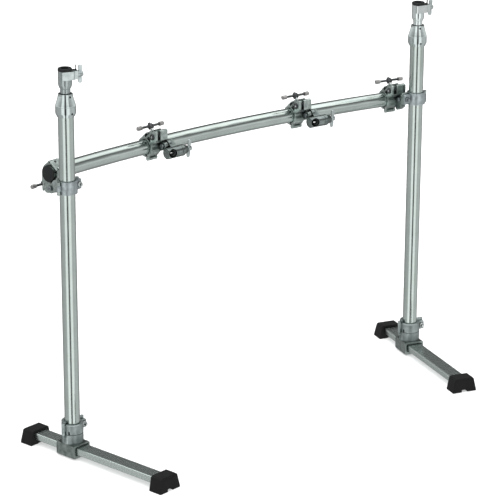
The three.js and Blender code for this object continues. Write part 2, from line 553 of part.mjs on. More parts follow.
function baseDoor() {
  let s = ringDoor(BASE_R, DOOR_Z[0], DOOR_Z[1], -31, [70.4, 86.6], [63, 85.4]);
  s = doorCuts(s, DOOR_Z[0], DOOR_Z[1], -31, [[60, 70.4], [86.6, 97]], 74.2, 3.7, 8.2);
  return cut(s, rod([-31, 0, 60], [-31, 0, 97], 2.6, 2.6, 12));
}
function ferrule() {
  const [a, b] = FERRULE_Z;
  return turned([
    [BORE_R - 0.1, a], [20.6, a], [24.2, a + 7.5], [24.8, a + 10], [24.8, a + 26], [24.2, a + 29],
    [21.4, a + 38], [18.6, a + 47.5], [17.7, a + 52], [17.7, b], [12.9, b], [12.9, POST_TOP + 1.4], [BORE_R - 0.1, POST_TOP + 1.4], [BORE_R - 0.1, a],
  ], 38);
}
function socket(i) {
  const az = rad(WING_AZIMUTH[i]);
  const u = [Math.cos(az), Math.sin(az)];
  let s = turned([
    [9.9, 892], [12.25, 892], [12.25, 928.5], [13.4, 929.6], [16, 935.5], [16.6, 938.5], [16.6, SOCKET_TOP],
    [13.3, SOCKET_TOP], [13.3, 941], [9.9, 939], [9.9, 892],
  ], 36);
  const p = (r) => [u[0] * r, u[1] * r, 960.3];
  // flat-faced block for the wing screw, drawn along X and turned into place
  const outline = [[-13, 0], [-13, -16.4], [-11.8, -17.6], [16.5, -17.6], [18.5, -15.6], [19, -13.6], [28.6, -13.6], [29.4, -12.8], [29.4, 8.2], [28.6, 9], [-8.5, 9]];
  const b = surface(slabXY(outline, 950.5, SOCKET_TOP));
  b.rotateZ(az);
  s = join(s, cut(solid(b), rod([0, 0, 900], [0, 0, 1000], 13.3, 13.3, 36)));
  return cut(s, rod(p(8), p(40), 4.7, 4.7, 16));
}
function bushing(i) {
  const az = WING_AZIMUTH[i];
  let s = turned([
    [9.75, 942], [12.8, 942], [12.8, SOCKET_TOP + 0.3], [16.9, SOCKET_TOP + 0.3], [16.9, SOCKET_TOP + 5], [15.6, SOCKET_TOP + 7], [9.75, SOCKET_TOP + 7], [9.75, 942],
  ], 36);
  // slotted window for the wing screw's pad
  s = cut(s, solid((() => { const g = surface(rod([4, 0, 960.3], [20, 0, 960.3], 4.6, 4.6, 16)); g.rotateZ(rad(az)); return g; })()));
  // thin tongue that lies along the boss and turns up in front of the wings
  const tongue = (() => {
    const g = surface(join(box(15, 27.6, -2.2, 2.2, SOCKET_TOP + 0.3, SOCKET_TOP + 1.7), box(26.2, 27.6, -2.2, 2.2, SOCKET_TOP + 0.3, SOCKET_TOP + 12)));
    g.rotateZ(rad(az));
    return solid(g);
  })();
  return join(s, tongue);
}
function socketWing(i) {
  const az = rad(WING_AZIMUTH[i]);
  const g = surface(join(wing(30.2, 44, 22.5, 4.2, 6), rod([14, 0, 0], [31, 0, 0], 4, 4, 16)));
  g.translate(0, 0, 960.3);
  g.rotateZ(az);
  return solid(g);
}
['left', 'right'].forEach((side, i) => {
  const at = new THREE.Group();
  at.position.set(i === 0 ? -HALF : HALF, 0, 0);
  frame.add(at);
  put(at, `post_${side}`, cut(rod([0, 0, POST_BOTTOM], [0, 0, POST_TOP], TUBE_R, TUBE_R, 44), rod([0, 0, 0], [0, 0, 1000], TUBE_R - TUBE_WALL, TUBE_R - TUBE_WALL, 32)), M.tube());
  put(at, `post_ferrule_${side}`, ferrule(), M.chrome());
  put(at, `boom_socket_${side}`, socket(i), M.chrome());
  put(at, `socket_bushing_${side}`, bushing(i), M.plastic());
  put(at, `socket_wing_screw_${side}`, socketWing(i), M.chrome());
  const leg = new THREE.Group();
  leg.rotation.z = rad(i === 0 ? LEG_ANGLE_L : LEG_ANGLE_R);
  at.add(leg);
  put(leg, `leg_tube_${side}`, legTube(), M.leg());
  put(leg, `foot_front_${side}`, foot(true), M.rubber());
  put(leg, `foot_rear_${side}`, foot(false), M.rubber());
  put(leg, `base_casting_${side}`, baseCasting(), M.cast());
  put(leg, `base_door_${side}`, baseDoor(), M.cast());
  put(leg, `base_key_bolt_${side}`, keyBolt(74.2, 7.4), M.bolt());
});

export default root;
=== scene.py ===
import math

import bmesh
import bpy
from mathutils import Matrix, Vector


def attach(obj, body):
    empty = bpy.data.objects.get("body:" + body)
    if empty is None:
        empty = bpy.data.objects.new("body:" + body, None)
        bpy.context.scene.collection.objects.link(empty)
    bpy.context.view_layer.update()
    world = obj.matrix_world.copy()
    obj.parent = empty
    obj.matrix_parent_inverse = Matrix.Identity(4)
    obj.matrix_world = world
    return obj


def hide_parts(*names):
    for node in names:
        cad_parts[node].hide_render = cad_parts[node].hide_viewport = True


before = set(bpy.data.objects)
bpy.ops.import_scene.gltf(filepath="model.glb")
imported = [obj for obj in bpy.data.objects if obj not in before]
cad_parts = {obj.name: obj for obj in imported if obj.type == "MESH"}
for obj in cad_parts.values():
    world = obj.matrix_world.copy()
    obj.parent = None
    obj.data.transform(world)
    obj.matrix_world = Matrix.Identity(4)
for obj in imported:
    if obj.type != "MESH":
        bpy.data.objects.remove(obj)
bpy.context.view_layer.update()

scene = bpy.context.scene

# ---------------------------------------------------------------- dimensions
# Millimetres here; every piece is turned into metres when it is placed.
ORIGIN = Vector((-8.45, 87.29, 0.0))
HALF = 565.0
TUBE_R, TUBE_WALL, BORE_R = 19.05, 1.6, 19.75
POST_BOTTOM, POST_TOP = 39.0, 889.0
BAR_Z, BAR_BACK, BAR_SAG, BAR_END = 703.3, 75.0, 50.0, 566.0
BAR_RADIUS = (HALF * HALF + BAR_SAG * BAR_SAG) / (2 * BAR_SAG)
ARC_Y = BAR_BACK + BAR_SAG - BAR_RADIUS
LEG_ANGLE = (9.5, -16.5)
LEG_W, LEG_H, LEG_TOP, LEG_WALL = 40.5, 17.5, 30.6, 1.6
LEG_FRONT, LEG_REAR, FOOT_IN = 289.0, 112.0, 25.0
FOOT_H, FOOT_TOP_W, FOOT_BOT_W, FOOT_LEN = 38.0, 52.5, 68.0, 36.4
BASE_R, RING_R = 27.0, 24.6
W = 15.0
PIN = (-29.0, 31.0)
BOLT_ANGLE, BOLT_X = 50.0, -4.0
HINGE = (-9.5, -28.5)
T_ROD_HALF = 42.0
ACC_X = (-233.7, 239.8)
END_X = (-547.5, 537.8)
RING_Z, RING_H = (-14.0, 16.5), 32.0
LEFT_ROLL = 57.0
BALL_R, BALL_HOLE_R = 12.0, 5.3
FER_A, FER_B = 861.0, 916.5
SOCKET_TOP = 971.0
WING_AZ = (-17.0, -12.0)
EAR = (20.0, 39.5)
KEY_X = 32.5
RING_HX = -28.6
HOLD = (-57.5, -10.0)
ACC_BOSS = (-36.0, 4.0, 13.0)

rad = math.radians


# ---------------------------------------------------------------- mesh tools
def shape(verts, faces):
    me = bpy.data.meshes.new("shape")
    me.from_pydata([tuple(v) for v in verts], [], [tuple(f) for f in faces])
    bm = bmesh.new()
    bm.from_mesh(me)
    bmesh.ops.remove_doubles(bm, verts=bm.verts, dist=1e-4)
    bmesh.ops.recalc_face_normals(bm, faces=bm.faces)
    bm.to_mesh(me)
    bm.free()
    return me


def prism(points, d0, d1, plane, taper=None):
    """Outline in a plane, given depth along the third axis."""
    n = len(points)
    at = {"yz": lambda a, b, d: (d, a, b), "xy": lambda a, b, d: (a, b, d), "xz": lambda a, b, d: (a, d, b)}[plane]
    verts = [at(a, b, d0) for a, b in points] + [at(a, b, d1) for a, b in points]
    faces = [list(range(n))[::-1], list(range(n, 2 * n))]
    faces += [(i, (i + 1) % n, n + (i + 1) % n, n + i) for i in range(n)]
    return shape(verts, faces)


def yz(points, x0, x1):
    return prism(points, x0, x1, "yz")


def xy(points, z0, z1):
    return prism(points, z0, z1, "xy")


def xz(points, y0, y1):
    return prism(points, y0, y1, "xz")


def block(x0, x1, y0, y1, z0, z1):
    return xy([(x0, y0), (x1, y0), (x1, y1), (x0, y1)], z0, z1)


def rod(a, b, r0, r1=None, seg=48, teeth=0.0):
    """Round bar or cone between two points; teeth gives it straight grooves."""
    r1 = r0 if r1 is None else r1
    a, b = Vector(a), Vector(b)
    w = (b - a).normalized()
    u = Vector((0, 0, 1)) if abs(w.z) < 0.9 else Vector((1, 0, 0))
    u = (u - w * u.dot(w)).normalized()
    v = w.cross(u)
    verts = []
    for c, r in ((a, r0), (b, r1)):
        for i in range(seg):
            t = 2 * math.pi * i / seg
            k = r - (teeth if i % 2 else 0.0)
            verts.append(c + u * (k * math.cos(t)) + v * (k * math.sin(t)))
    faces = [list(range(seg))[::-1], list(range(seg, 2 * seg))]
    faces += [(i, (i + 1) % seg, seg + (i + 1) % seg, seg + i) for i in range(seg)]
    return shape(verts, faces)


def lathe(profile, seg=96, a=(0, 0, 0), b=(0, 0, 1)):
    """Closed profile of (radius, height) turned about the line from a towards b."""
    a = Vector(a)
    w = (Vector(b) - a).normalized()
    u = Vector((0, 0, 1)) if abs(w.z) < 0.9 else Vector((1, 0, 0))
    u = (u - w * u.dot(w)).normalized()
    v = w.cross(u)
    verts, rings = [], []
    for r, h in profile:
        if r < 1e-6:
            rings.append([len(verts)])
            verts.append(a + w * h)
        else:
            rings.append(list(range(len(verts), len(verts) + seg)))
            for i in range(seg):
                t = 2 * math.pi * i / seg
                verts.append(a + w * h + u * (r * math.cos(t)) + v * (r * math.sin(t)))
    faces = []
    for k in range(len(rings)):
        p, q = rings[k], rings[(k + 1) % len(rings)]
        if len(p) == 1 and len(q) == 1:
            continue
        for i in range(seg):
            j = (i + 1) % seg
            if len(p) == 1:
                faces.append((p[0], q[i], q[j]))
            elif len(q) == 1:
                faces.append((p[i], p[j], q[0]))
            else:
                faces.append((p[i], p[j], q[j], q[i]))
    return shape(verts, faces)


def ball(c, r, seg=48):
    n = seg // 2
    prof = [(r * math.sin(math.pi * k / n) if 0 < k < n else 0.0, -r * math.cos(math.pi * k / n)) for k in range(n + 1)]
    return lathe(prof, seg, c, (c[0], c[1], c[2] + 1))


def arc(r, a0, a1, steps, c=(0.0, 0.0)):
    return [(c[0] + r * math.cos(rad(a0 + (a1 - a0) * i / steps)), c[1] + r * math.sin(rad(a0 + (a1 - a0) * i / steps))) for i in range(steps + 1)]


def soft(points, r, steps=5):
    """Outline with its corners rounded; a third number in a point is that corner's own radius."""
    out, n = [], len(points)
    for i in range(n):
        p = Vector(points[i][:2])
        u = Vector(points[i - 1][:2]) - p
        v = Vector(points[(i + 1) % n][:2]) - p
        k = points[i][2] if len(points[i]) > 2 else r
        lu, lv = u.length, v.length
        u.normalize()
        v.normalize()
        ang = math.acos(max(-1.0, min(1.0, u.dot(v))))
        if k <= 0 or ang > rad(167) or ang < rad(8):
            out.append((p.x, p.y))
            continue
        t = min(k / math.tan(ang / 2), 0.45 * lu, 0.45 * lv)
        k = t * math.tan(ang / 2)
        c = p + (u + v).normalized() * (k / math.sin(ang / 2))
        s, e = p + u * t, p + v * t
        a0 = math.atan2(s.y - c.y, s.x - c.x)
        a1 = math.atan2(e.y - c.y, e.x - c.x)
        d = (a1 - a0 + math.pi) % (2 * math.pi) - math.pi
        for j in range(steps + 1):
            th = a0 + d * j / steps
            out.append((c.x + k * math.cos(th), c.y + k * math.sin(th)))
    return out


def open_edges(me):
    bm = bmesh.new()
    bm.from_mesh(me)
    bad = sum(1 for e in bm.edges if not e.is_manifold)
    n = len(bm.faces)
    bm.free()
    return bad, n


def boole(base, tools, how):
    for solver in ("MANIFOLD", "EXACT"):
        ob = bpy.data.objects.new("work", base)
        scene.collection.objects.link(ob)
        made = [ob]
        for t in tools:
            to = bpy.data.objects.new("tool", t)
            scene.collection.objects.link(to)
            made.append(to)
            m = ob.modifiers.new("b", "BOOLEAN")
            m.operation, m.solver, m.object = how, solver, to
        dg = bpy.context.evaluated_depsgraph_get()
        out = bpy.data.meshes.new_from_object(ob.evaluated_get(dg))
        for o in made:
            bpy.data.objects.remove(o)
        bad, n = open_edges(out)
        if n and not bad:
            return out
        print("boolean", how, solver, "left", bad, "open edges,", n, "faces")
    return out


def join(*s):
    return boole(s[0], s[1:], "UNION")


def cut(s, *t):
    return boole(s, t, "DIFFERENCE")


def common(s, *t):
    return boole(s, t, "INTERSECT")


def moved(me, m):
    out = me.copy()
    out.transform(m)
    if m.determinant() < 0:
        out.flip_normals()
    return out


def refine(me, bevel=0.5, angle=30.0, seg=2, tidy=0.03):
    """Clean a solid, round its edges and weight its normals by face area."""
    me = me.copy()
    bm = bmesh.new()
    bm.from_mesh(me)
    bmesh.ops.remove_doubles(bm, verts=bm.verts, dist=tidy)
    bmesh.ops.dissolve_degenerate(bm, edges=bm.edges, dist=tidy)
    bmesh.ops.dissolve_limit(bm, angle_limit=rad(0.4), verts=bm.verts, edges=bm.edges)
    bmesh.ops.recalc_face_normals(bm, faces=bm.faces)
    bm.to_mesh(me)
    bm.free()
    ob = bpy.data.objects.new("refine", me)
    scene.collection.objects.link(ob)
    if bevel > 0:
        b = ob.modifiers.new("bevel", "BEVEL")
        b.width, b.segments, b.limit_method, b.angle_limit = bevel, seg, "ANGLE", rad(angle)
        b.use_clamp_overlap = False
        b.miter_outer = "MITER_SHARP"
        b.harden_normals = False
    dg = bpy.context.evaluated_depsgraph_get()
    out = bpy.data.meshes.new_from_object(ob.evaluated_get(dg))
    bpy.data.objects.remove(ob)
    for p in out.polygons:
        p.use_smooth = True
    out.set_sharp_from_angle(angle=rad(44))
    ob = bpy.data.objects.new("refine", out)
    scene.collection.objects.link(ob)
    wn = ob.modifiers.new("normals", "WEIGHTED_NORMAL")
    wn.weight, wn.keep_sharp = 80, True
    dg = bpy.context.evaluated_depsgraph_get()
    fin = bpy.data.meshes.new_from_object(ob.evaluated_get(dg))
    bpy.data.objects.remove(ob)
    return fin


# ----------------------------------------------------------------- materials
def node(nt, kind, **inputs):
    n = nt.nodes.new(kind)
    for k, v in inputs.items():
        n.inputs[k].default_value = v
    return n


def ramp(nt, fac, stops):
    r = nt.nodes.new("ShaderNodeValToRGB")
    e = r.color_ramp.elements
    while len(e) < len(stops):
        e.new(0.5)
    for el, (pos, col) in zip(e, stops):
        el.position = pos
        el.color = (*col, 1.0) if not isinstance(col, float) else (col, col, col, 1.0)
    nt.links.new(fac, r.inputs["Fac"])
    return r.outputs["Color"]


def noise(nt, vec, scale, detail=4.0, rough=0.55, dist=0.0):
    n = node(nt, "ShaderNodeTexNoise", Scale=scale, Detail=detail, Roughness=rough, Distortion=dist)
    nt.links.new(vec, n.inputs["Vector"])
    return n.outputs["Fac"]


def span(nt, fac, lo, hi, a=0.0, b=1.0):
    m = nt.nodes.new("ShaderNodeMapRange")
    m.inputs["From Min"].default_value, m.inputs["From Max"].default_value = a, b
    m.inputs["To Min"].default_value, m.inputs["To Max"].default_value = lo, hi
    nt.links.new(fac, m.inputs["Value"])
    return m.outputs["Result"]


def mapped(nt, scale=(1, 1, 1), turn=(0, 0, 0)):
    tc = nt.nodes.new("ShaderNodeTexCoord")
    mp = nt.nodes.new("ShaderNodeMapping")
    mp.inputs["Scale"].default_value = scale
    mp.inputs["Rotation"].default_value = turn
    nt.links.new(tc.outputs["Object"], mp.inputs["Vector"])
    return mp.outputs["Vector"]


def finish_of(name, dark, light, rough, metallic=1.0, stretch=(1, 1, 1), grain=900.0, cloud=14.0, bump=0.12,
              bump_scale=1600.0, bump_stretch=None, edge=0.0, coat=0.0, painted_recess_shade=0.0, spec=0.5):
    """A finish whose colour, roughness and relief vary over the surface."""
    m = bpy.data.materials.new(name)
    m.use_nodes = True
    nt = m.node_tree
    bs = nt.nodes["Principled BSDF"]
    bs.inputs["Metallic"].default_value = metallic
    bs.inputs["Specular IOR Level"].default_value = spec
    if coat:
        bs.inputs["Coat Weight"].default_value = coat
        bs.inputs["Coat Roughness"].default_value = 0.25
    fine = noise(nt, mapped(nt, stretch), grain, 6.0, 0.6)
    big = noise(nt, mapped(nt), cloud, 3.0, 0.5)
    mix = nt.nodes.new("ShaderNodeMath")
    mix.operation = "MULTIPLY_ADD"
    nt.links.new(fine, mix.inputs[0])
    mix.inputs[1].default_value = 0.55
    nt.links.new(span(nt, big, -0.05, 0.5), mix.inputs[2])
    col = ramp(nt, mix.outputs[0], [(0.22, dark), (0.72, light)])
    if edge:
        # lighter on sharp convex edges: partly rubbed wear, partly painted highlight
        geo = nt.nodes.new("ShaderNodeNewGeometry")
        edge_wear_and_highlight = span(nt, geo.outputs["Pointiness"], 0.0, 1.0, 0.505, 0.56)
        patchy_wear_and_highlight = nt.nodes.new("ShaderNodeMath")
        patchy_wear_and_highlight.operation = "MULTIPLY"
        patchy_wear_and_highlight.use_clamp = True
        nt.links.new(edge_wear_and_highlight, patchy_wear_and_highlight.inputs[0])
        nt.links.new(span(nt, noise(nt, mapped(nt), 90.0, 3.0), 0.2 * edge, 1.6 * edge, 0.3, 0.7), patchy_wear_and_highlight.inputs[1])
        mx = nt.nodes.new("ShaderNodeMix")
        mx.data_type = "RGBA"
        nt.links.new(patchy_wear_and_highlight.outputs[0], mx.inputs["Factor"])
        nt.links.new(col, mx.inputs["A"])
        mx.inputs["B"].default_value = (*[min(1.0, c * 1.5 + 0.08) for c in light], 1.0)
        col = mx.outputs["Result"]
    if painted_recess_shade:                                       # painted shade: the colour is darkened where ambient occlusion finds corners and recesses
        ao = nt.nodes.new("ShaderNodeAmbientOcclusion")
        ao.samples = 6
        ao.inputs["Distance"].default_value = 0.009
        open_ = span(nt, ao.outputs["AO"], 1.0 - painted_recess_shade, 1.0, 0.25, 0.88)
        mg = nt.nodes.new("ShaderNodeMix")
        mg.data_type, mg.blend_type = "RGBA", "MULTIPLY"
        mg.inputs["Factor"].default_value = 1.0
        nt.links.new(col, mg.inputs["A"])
        nt.links.new(open_, mg.inputs["B"])
        col = mg.outputs["Result"]
    nt.links.new(col, bs.inputs["Base Color"])
    nt.links.new(span(nt, fine, rough[0], rough[1], 0.25, 0.75), bs.inputs["Roughness"])
    b = nt.nodes.new("ShaderNodeBump")
    b.inputs["Strength"].default_value = bump
    b.inputs["Distance"].default_value = 0.0004
    nt.links.new(noise(nt, mapped(nt, bump_stretch or stretch), bump_scale, 3.0), b.inputs["Height"])
    nt.links.new(b.outputs["Normal"], bs.inputs["Normal"])
    return m


TUBE_V = finish_of("stainless_upright", (0.47, 0.535, 0.505), (0.63, 0.705, 0.675), (0.14, 0.24), stretch=(1, 1, 0.02), grain=1400, bump=0.05, bump_scale=2600)
TUBE_X = finish_of("stainless_cross", (0.47, 0.535, 0.505), (0.63, 0.705, 0.675), (0.14, 0.24), stretch=(0.02, 1, 1), grain=1400, bump=0.05, bump_scale=2600)
CHROME = finish_of("chrome_plate", (0.44, 0.51, 0.50), (0.67, 0.745, 0.73), (0.03, 0.075), grain=500, bump=0.012, bump_scale=900, painted_recess_shade=0.3)
# left and right copies of one finish: the left copy darker as painted shade, the right lighter as painted light
SATIN = (
    finish_of("satin_chrome_shaded_left", (0.31, 0.36, 0.355), (0.48, 0.54, 0.532), (0.22, 0.34), grain=600, cloud=60, bump=0.14, bump_scale=1200, edge=0.5, painted_recess_shade=0.4),
    finish_of("satin_chrome_lit_right", (0.58, 0.65, 0.64), (0.84, 0.90, 0.895), (0.10, 0.18), grain=600, bump=0.05, bump_scale=1200, edge=0.3, painted_recess_shade=0.4),
)
CAST = finish_of("cast_alloy", (0.13, 0.16, 0.153), (0.37, 0.43, 0.413), (0.22, 0.36), metallic=0.95, grain=700, cloud=34, bump=0.18, bump_scale=1300, edge=0.7, painted_recess_shade=0.85)
CAST_ARM = finish_of("cast_alloy_dark", (0.066, 0.083, 0.080), (0.185, 0.220, 0.212), (0.16, 0.30), metallic=0.95, grain=700, cloud=34, bump=0.18, bump_scale=1300, edge=0.8, painted_recess_shade=0.85)
CAST_BASE = finish_of("cast_alloy_base", (0.092, 0.115, 0.108), (0.188, 0.225, 0.214), (0.34, 0.46), metallic=0.95, grain=700, cloud=22, bump=0.18, bump_scale=1300, edge=0.8, painted_recess_shade=0.7)
# left and right copies of one finish; the left copy is darker, painted shade for the left ring door
CAST_RING = (
    finish_of("cast_alloy_smooth_shaded_left", (0.185, 0.218, 0.226), (0.335, 0.380, 0.390), (0.34, 0.48), metallic=0.97, grain=600, cloud=18, bump=0.14, bump_scale=1300, edge=0.8, painted_recess_shade=0.6),
    finish_of("cast_alloy_smooth_right", (0.23, 0.268, 0.277), (0.42, 0.475, 0.487), (0.34, 0.48), metallic=0.97, grain=600, cloud=18, bump=0.14, bump_scale=1300, edge=0.6, painted_recess_shade=0.6),
)
DULL = finish_of("dull_bolt_steel", (0.17, 0.195, 0.20), (0.33, 0.37, 0.38), (0.36, 0.52), grain=800, bump=0.08, bump_scale=1500, edge=0.4, painted_recess_shade=0.7)
CAST_FOOT = finish_of("cast_alloy_collar", (0.19, 0.225, 0.22), (0.335, 0.39, 0.383), (0.38, 0.52), metallic=0.97, grain=600, cloud=20, bump=0.16, bump_scale=1300, edge=0.7, painted_recess_shade=0.6)
LEG = finish_of("leg_steel", (0.62, 0.70, 0.67), (0.685, 0.77, 0.737), (0.255, 0.285), stretch=(1, 0.02, 1), grain=1000, bump=0.008, bump_scale=1800)
KNURL = finish_of("knurled_steel", (0.20, 0.197, 0.194), (0.43, 0.422, 0.415), (0.24, 0.38), grain=900, bump=0.15, bump_scale=2200, edge=0.4)
BOLT = finish_of("bolt_steel", (0.42, 0.47, 0.46), (0.68, 0.74, 0.73), (0.16, 0.3), grain=800, bump=0.06, bump_scale=1500, edge=0.5, painted_recess_shade=0.6)
ZINC = finish_of("satin_zinc", (0.36, 0.41, 0.41), (0.55, 0.61, 0.61), (0.24, 0.38), metallic=0.95, grain=700, cloud=40, bump=0.14, bump_scale=1400, edge=0.5, painted_recess_shade=0.5)
DARK = finish_of("blackened_steel", (0.030, 0.032, 0.033), (0.085, 0.09, 0.094), (0.24, 0.38), metallic=0.8, grain=800, bump=0.1, bump_scale=1500, edge=0.3)
PLASTIC = finish_of("black_plastic", (0.0035, 0.0045, 0.0052), (0.0100, 0.0120, 0.0125), (0.34, 0.5), metallic=0.0, grain=500, bump=0.12, bump_scale=1700, spec=0.35)
RUBBER = finish_of("black_rubber", (0.0030, 0.0031, 0.0033), (0.0085, 0.0086, 0.0090), (0.50, 0.72), metallic=0.0, grain=420, cloud=30, bump=0.35, bump_scale=900, spec=0.22)

# ------------------------------------------------------------------- placing
placed = {}


def put(name, me, material, body, nodes, place=Matrix.Identity(4), upper=None):
    """Place a piece; upper = (height, material) gives the faces above that height a finish of their own."""
    me = me.copy()
    me.materials.clear()
    me.materials.append(material)
    if upper:
        me.materials.append(upper[1])
        for p in me.polygons:
            p.material_index = int(p.center.z > upper[0])
    me.transform(Matrix.Scale(0.001, 4) @ Matrix.Translation(ORIGIN) @ place)
    me.name = name
    ob = bpy.data.objects.new(name, me)
    scene.collection.objects.link(ob)
    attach(ob, body)
    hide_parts(*([nodes] if isinstance(nodes, str) else nodes))
    placed[name] = ob
    return ob


def bar_point(x):
    return x, ARC_Y + math.sqrt(BAR_RADIUS * BAR_RADIUS - x * x)


def bar_turn(x):
    return -math.asin(x / BAR_RADIUS)


def on_bar(x):
    px, py = bar_point(x)
    return Matrix.Translation((px, py, BAR_Z)) @ Matrix.Rotation(bar_turn(x), 4, "Z")


# --------------------------------------------------------------------- tubes
def bar_tube():
    steps, seg = 120, 64
    a = math.asin(BAR_END / BAR_RADIUS)
    rings = []
    for r in (TUBE_R, TUBE_R - TUBE_WALL):
        for k in range(steps + 1):
            u = -a + 2 * a * k / steps
            c = Vector((BAR_RADIUS * math.sin(u), ARC_Y + BAR_RADIUS * math.cos(u), BAR_Z))
            out = Vector((math.sin(u), math.cos(u), 0))
            rings.append([c + out * (r * math.cos(2 * math.pi * i / seg)) + Vector((0, 0, r * math.sin(2 * math.pi * i / seg))) for i in range(seg)])
    verts = [v for ring in rings for v in ring]
    faces = []

    def strip(p, q):
        for i in range(seg):
            j = (i + 1) % seg
            faces.append((p * seg + i, p * seg + j, q * seg + j, q * seg + i))

    n = steps + 1
    for k in range(steps):
        strip(k, k + 1)
        strip(n + k, n + k + 1)
    strip(0, n)
    strip(steps, n + steps)
    return refine(shape(verts, faces), 0.3, 40, 1)


def post_tube():
    r, q = TUBE_R, TUBE_R - TUBE_WALL
    prof = []
    for k in range(9):
        prof.append((r, POST_BOTTOM + (POST_TOP - POST_BOTTOM) * k / 8))
    for k in range(9):
        prof.append((q, POST_TOP - (POST_TOP - POST_BOTTOM) * k / 8))
    return refine(lathe(prof, 96), 0.3, 40, 1)


def bar_cap(side):
    s = side
    prof = [(0, 4.9), (8, 4.8), (16, 4.4), (18.6, 3.9), (20.0, 2.9), (20.6, 1.6), (20.6, 0.3), (16.7, 0.3), (16.5, -8), (16.2, -15), (15.4, -16), (12.8, -16), (12.8, -1), (0, -1)]
    return refine(lathe(prof, 72, (0, 0, 0), (s, 0, 0)), 0.25, 40, 2)


# ---------------------------------------------------------------- bar clamps
B = (math.cos(rad(BOLT_ANGLE)), math.sin(rad(BOLT_ANGLE)))
C = (math.sin(rad(BOLT_ANGLE)), -math.cos(rad(BOLT_ANGLE)))


def bp(a, l):
    return PIN[0] + a * B[0] + l * C[0], PIN[1] + a * B[1] + l * C[1]


def xr(x0, x1, p, r, r1=None, seg=48, teeth=0.0):
    """Round form along X at the point p = (y, z)."""
    return rod((x0, p[0], p[1]), (x1, p[0], p[1]), r, r1, seg, teeth)


def clamp_body(block_to, boss, boss_r, boss_to, skirt=None, ribs=0, rounded=False):
    if rounded:
        lug = [(*bp(9.8, -3.6), 0.8), *arc(10.5, BOLT_ANGLE + 21, BOLT_ANGLE + 140, 32, PIN)]
    else:
        lug = [bp(9.8, -11), (-34.5, 47.4, 2.5), (-43, 47.0, 8.5), (-43, 23, 7)]
    outline = soft([bp(9.8, 31), *lug, (-37, 16.5, 4), (-29, 11.5, 3), *arc(27, 160, 244, 28), (-6, -18)], 1.2)
    s = yz(outline, -W, W)
    blk = soft([(-43, 21, 3), (-43, 47.5, 8.5), (-33.6, 47.5, 2), bp(9.8, -11), bp(9.8, 6), (-21, 21, 3), (-30, 15, 3)], 2)
    parts = [xr(boss[2], boss_to, boss, boss_r, seg=72)]
    if not rounded:
        parts.append(yz(blk, 0.5, block_to))
    if skirt:
        parts.append(yz(soft(skirt, 4), boss[2], boss_to))
    parts.append(yz([(-20, -12), (-24, 14), (boss[0], boss[1] + boss_r * 0.96), (boss[0], boss[1] - boss_r * 0.96)], max(boss[2], 2), min(boss_to, W)))
    for x0, x1 in ((-W, -8.2), (8.2, W)):
        parts.append(xr(x0, x1, HINGE, 5.4))
        parts.append(yz([(-14, -23), (-8.5, -24.6), (HINGE[0] + 3.4, HINGE[1] + 2), (HINGE[0] - 4.9, HINGE[1] - 1.5)], x0, x1))
    s = join(s, *parts)
    face = common(yz([bp(9.8, 40), bp(9.8, -30), bp(40, -30), (60, 60), (60, -60), (-3, -60), (-3, -20), (-6, -18)], -60, 60), block(-60, 60, -5.9, 60, -60, 60))
    tools = [
        xr(-40, 60, (0, 0), BORE_R, seg=96),
        xr(-8.2, 8.2, HINGE, 5.9),
        face,
        block(BOLT_X - 4.5, BOLT_X + 4.5, -60, -14, 23.5, 70),
        xr(-30, 9, PIN, 6.9),
        xr(boss[2] - 30, 90, boss, 4.3),
    ]
    if not rounded:                                 # pocket between the bore and the nut's boss
        tools.append(yz(soft([(-7.2, 22.6), (-16.6, 30.4), (-19.6, 26.6), (-22.6, 22.4), (-19.4, 15.4), (-14.6, 18.9), (-11.0, 21.2)], 1.4), -W - 2, -W + 4.2))
    if ribs:                                        # radial teeth of the coupling
        for k in range(ribs):
            t = 2 * math.pi * k / ribs
            c, n = Vector((0, math.cos(t), math.sin(t))), Vector((0, -math.sin(t), math.cos(t)))
            o = Vector((0, boss[0], boss[1]))
            w = 0.42 * 2 * math.pi * boss_r / ribs / 2
            pts = [o + c * (boss_r * 0.62) - n * w * 0.5, o + c * (boss_r + 1) - n * w, o + c * (boss_r + 1) + n * w, o + c * (boss_r * 0.62) + n * w * 0.5]
            tools.append(yz([(p.y, p.z) for p in pts], boss_to - 1.3, boss_to + 2))
    s = cut(s, *tools)
    s = join(s, xr(-W, W, HINGE, 2.4, seg=24))
    return refine(s, 0.6, 28, 2)


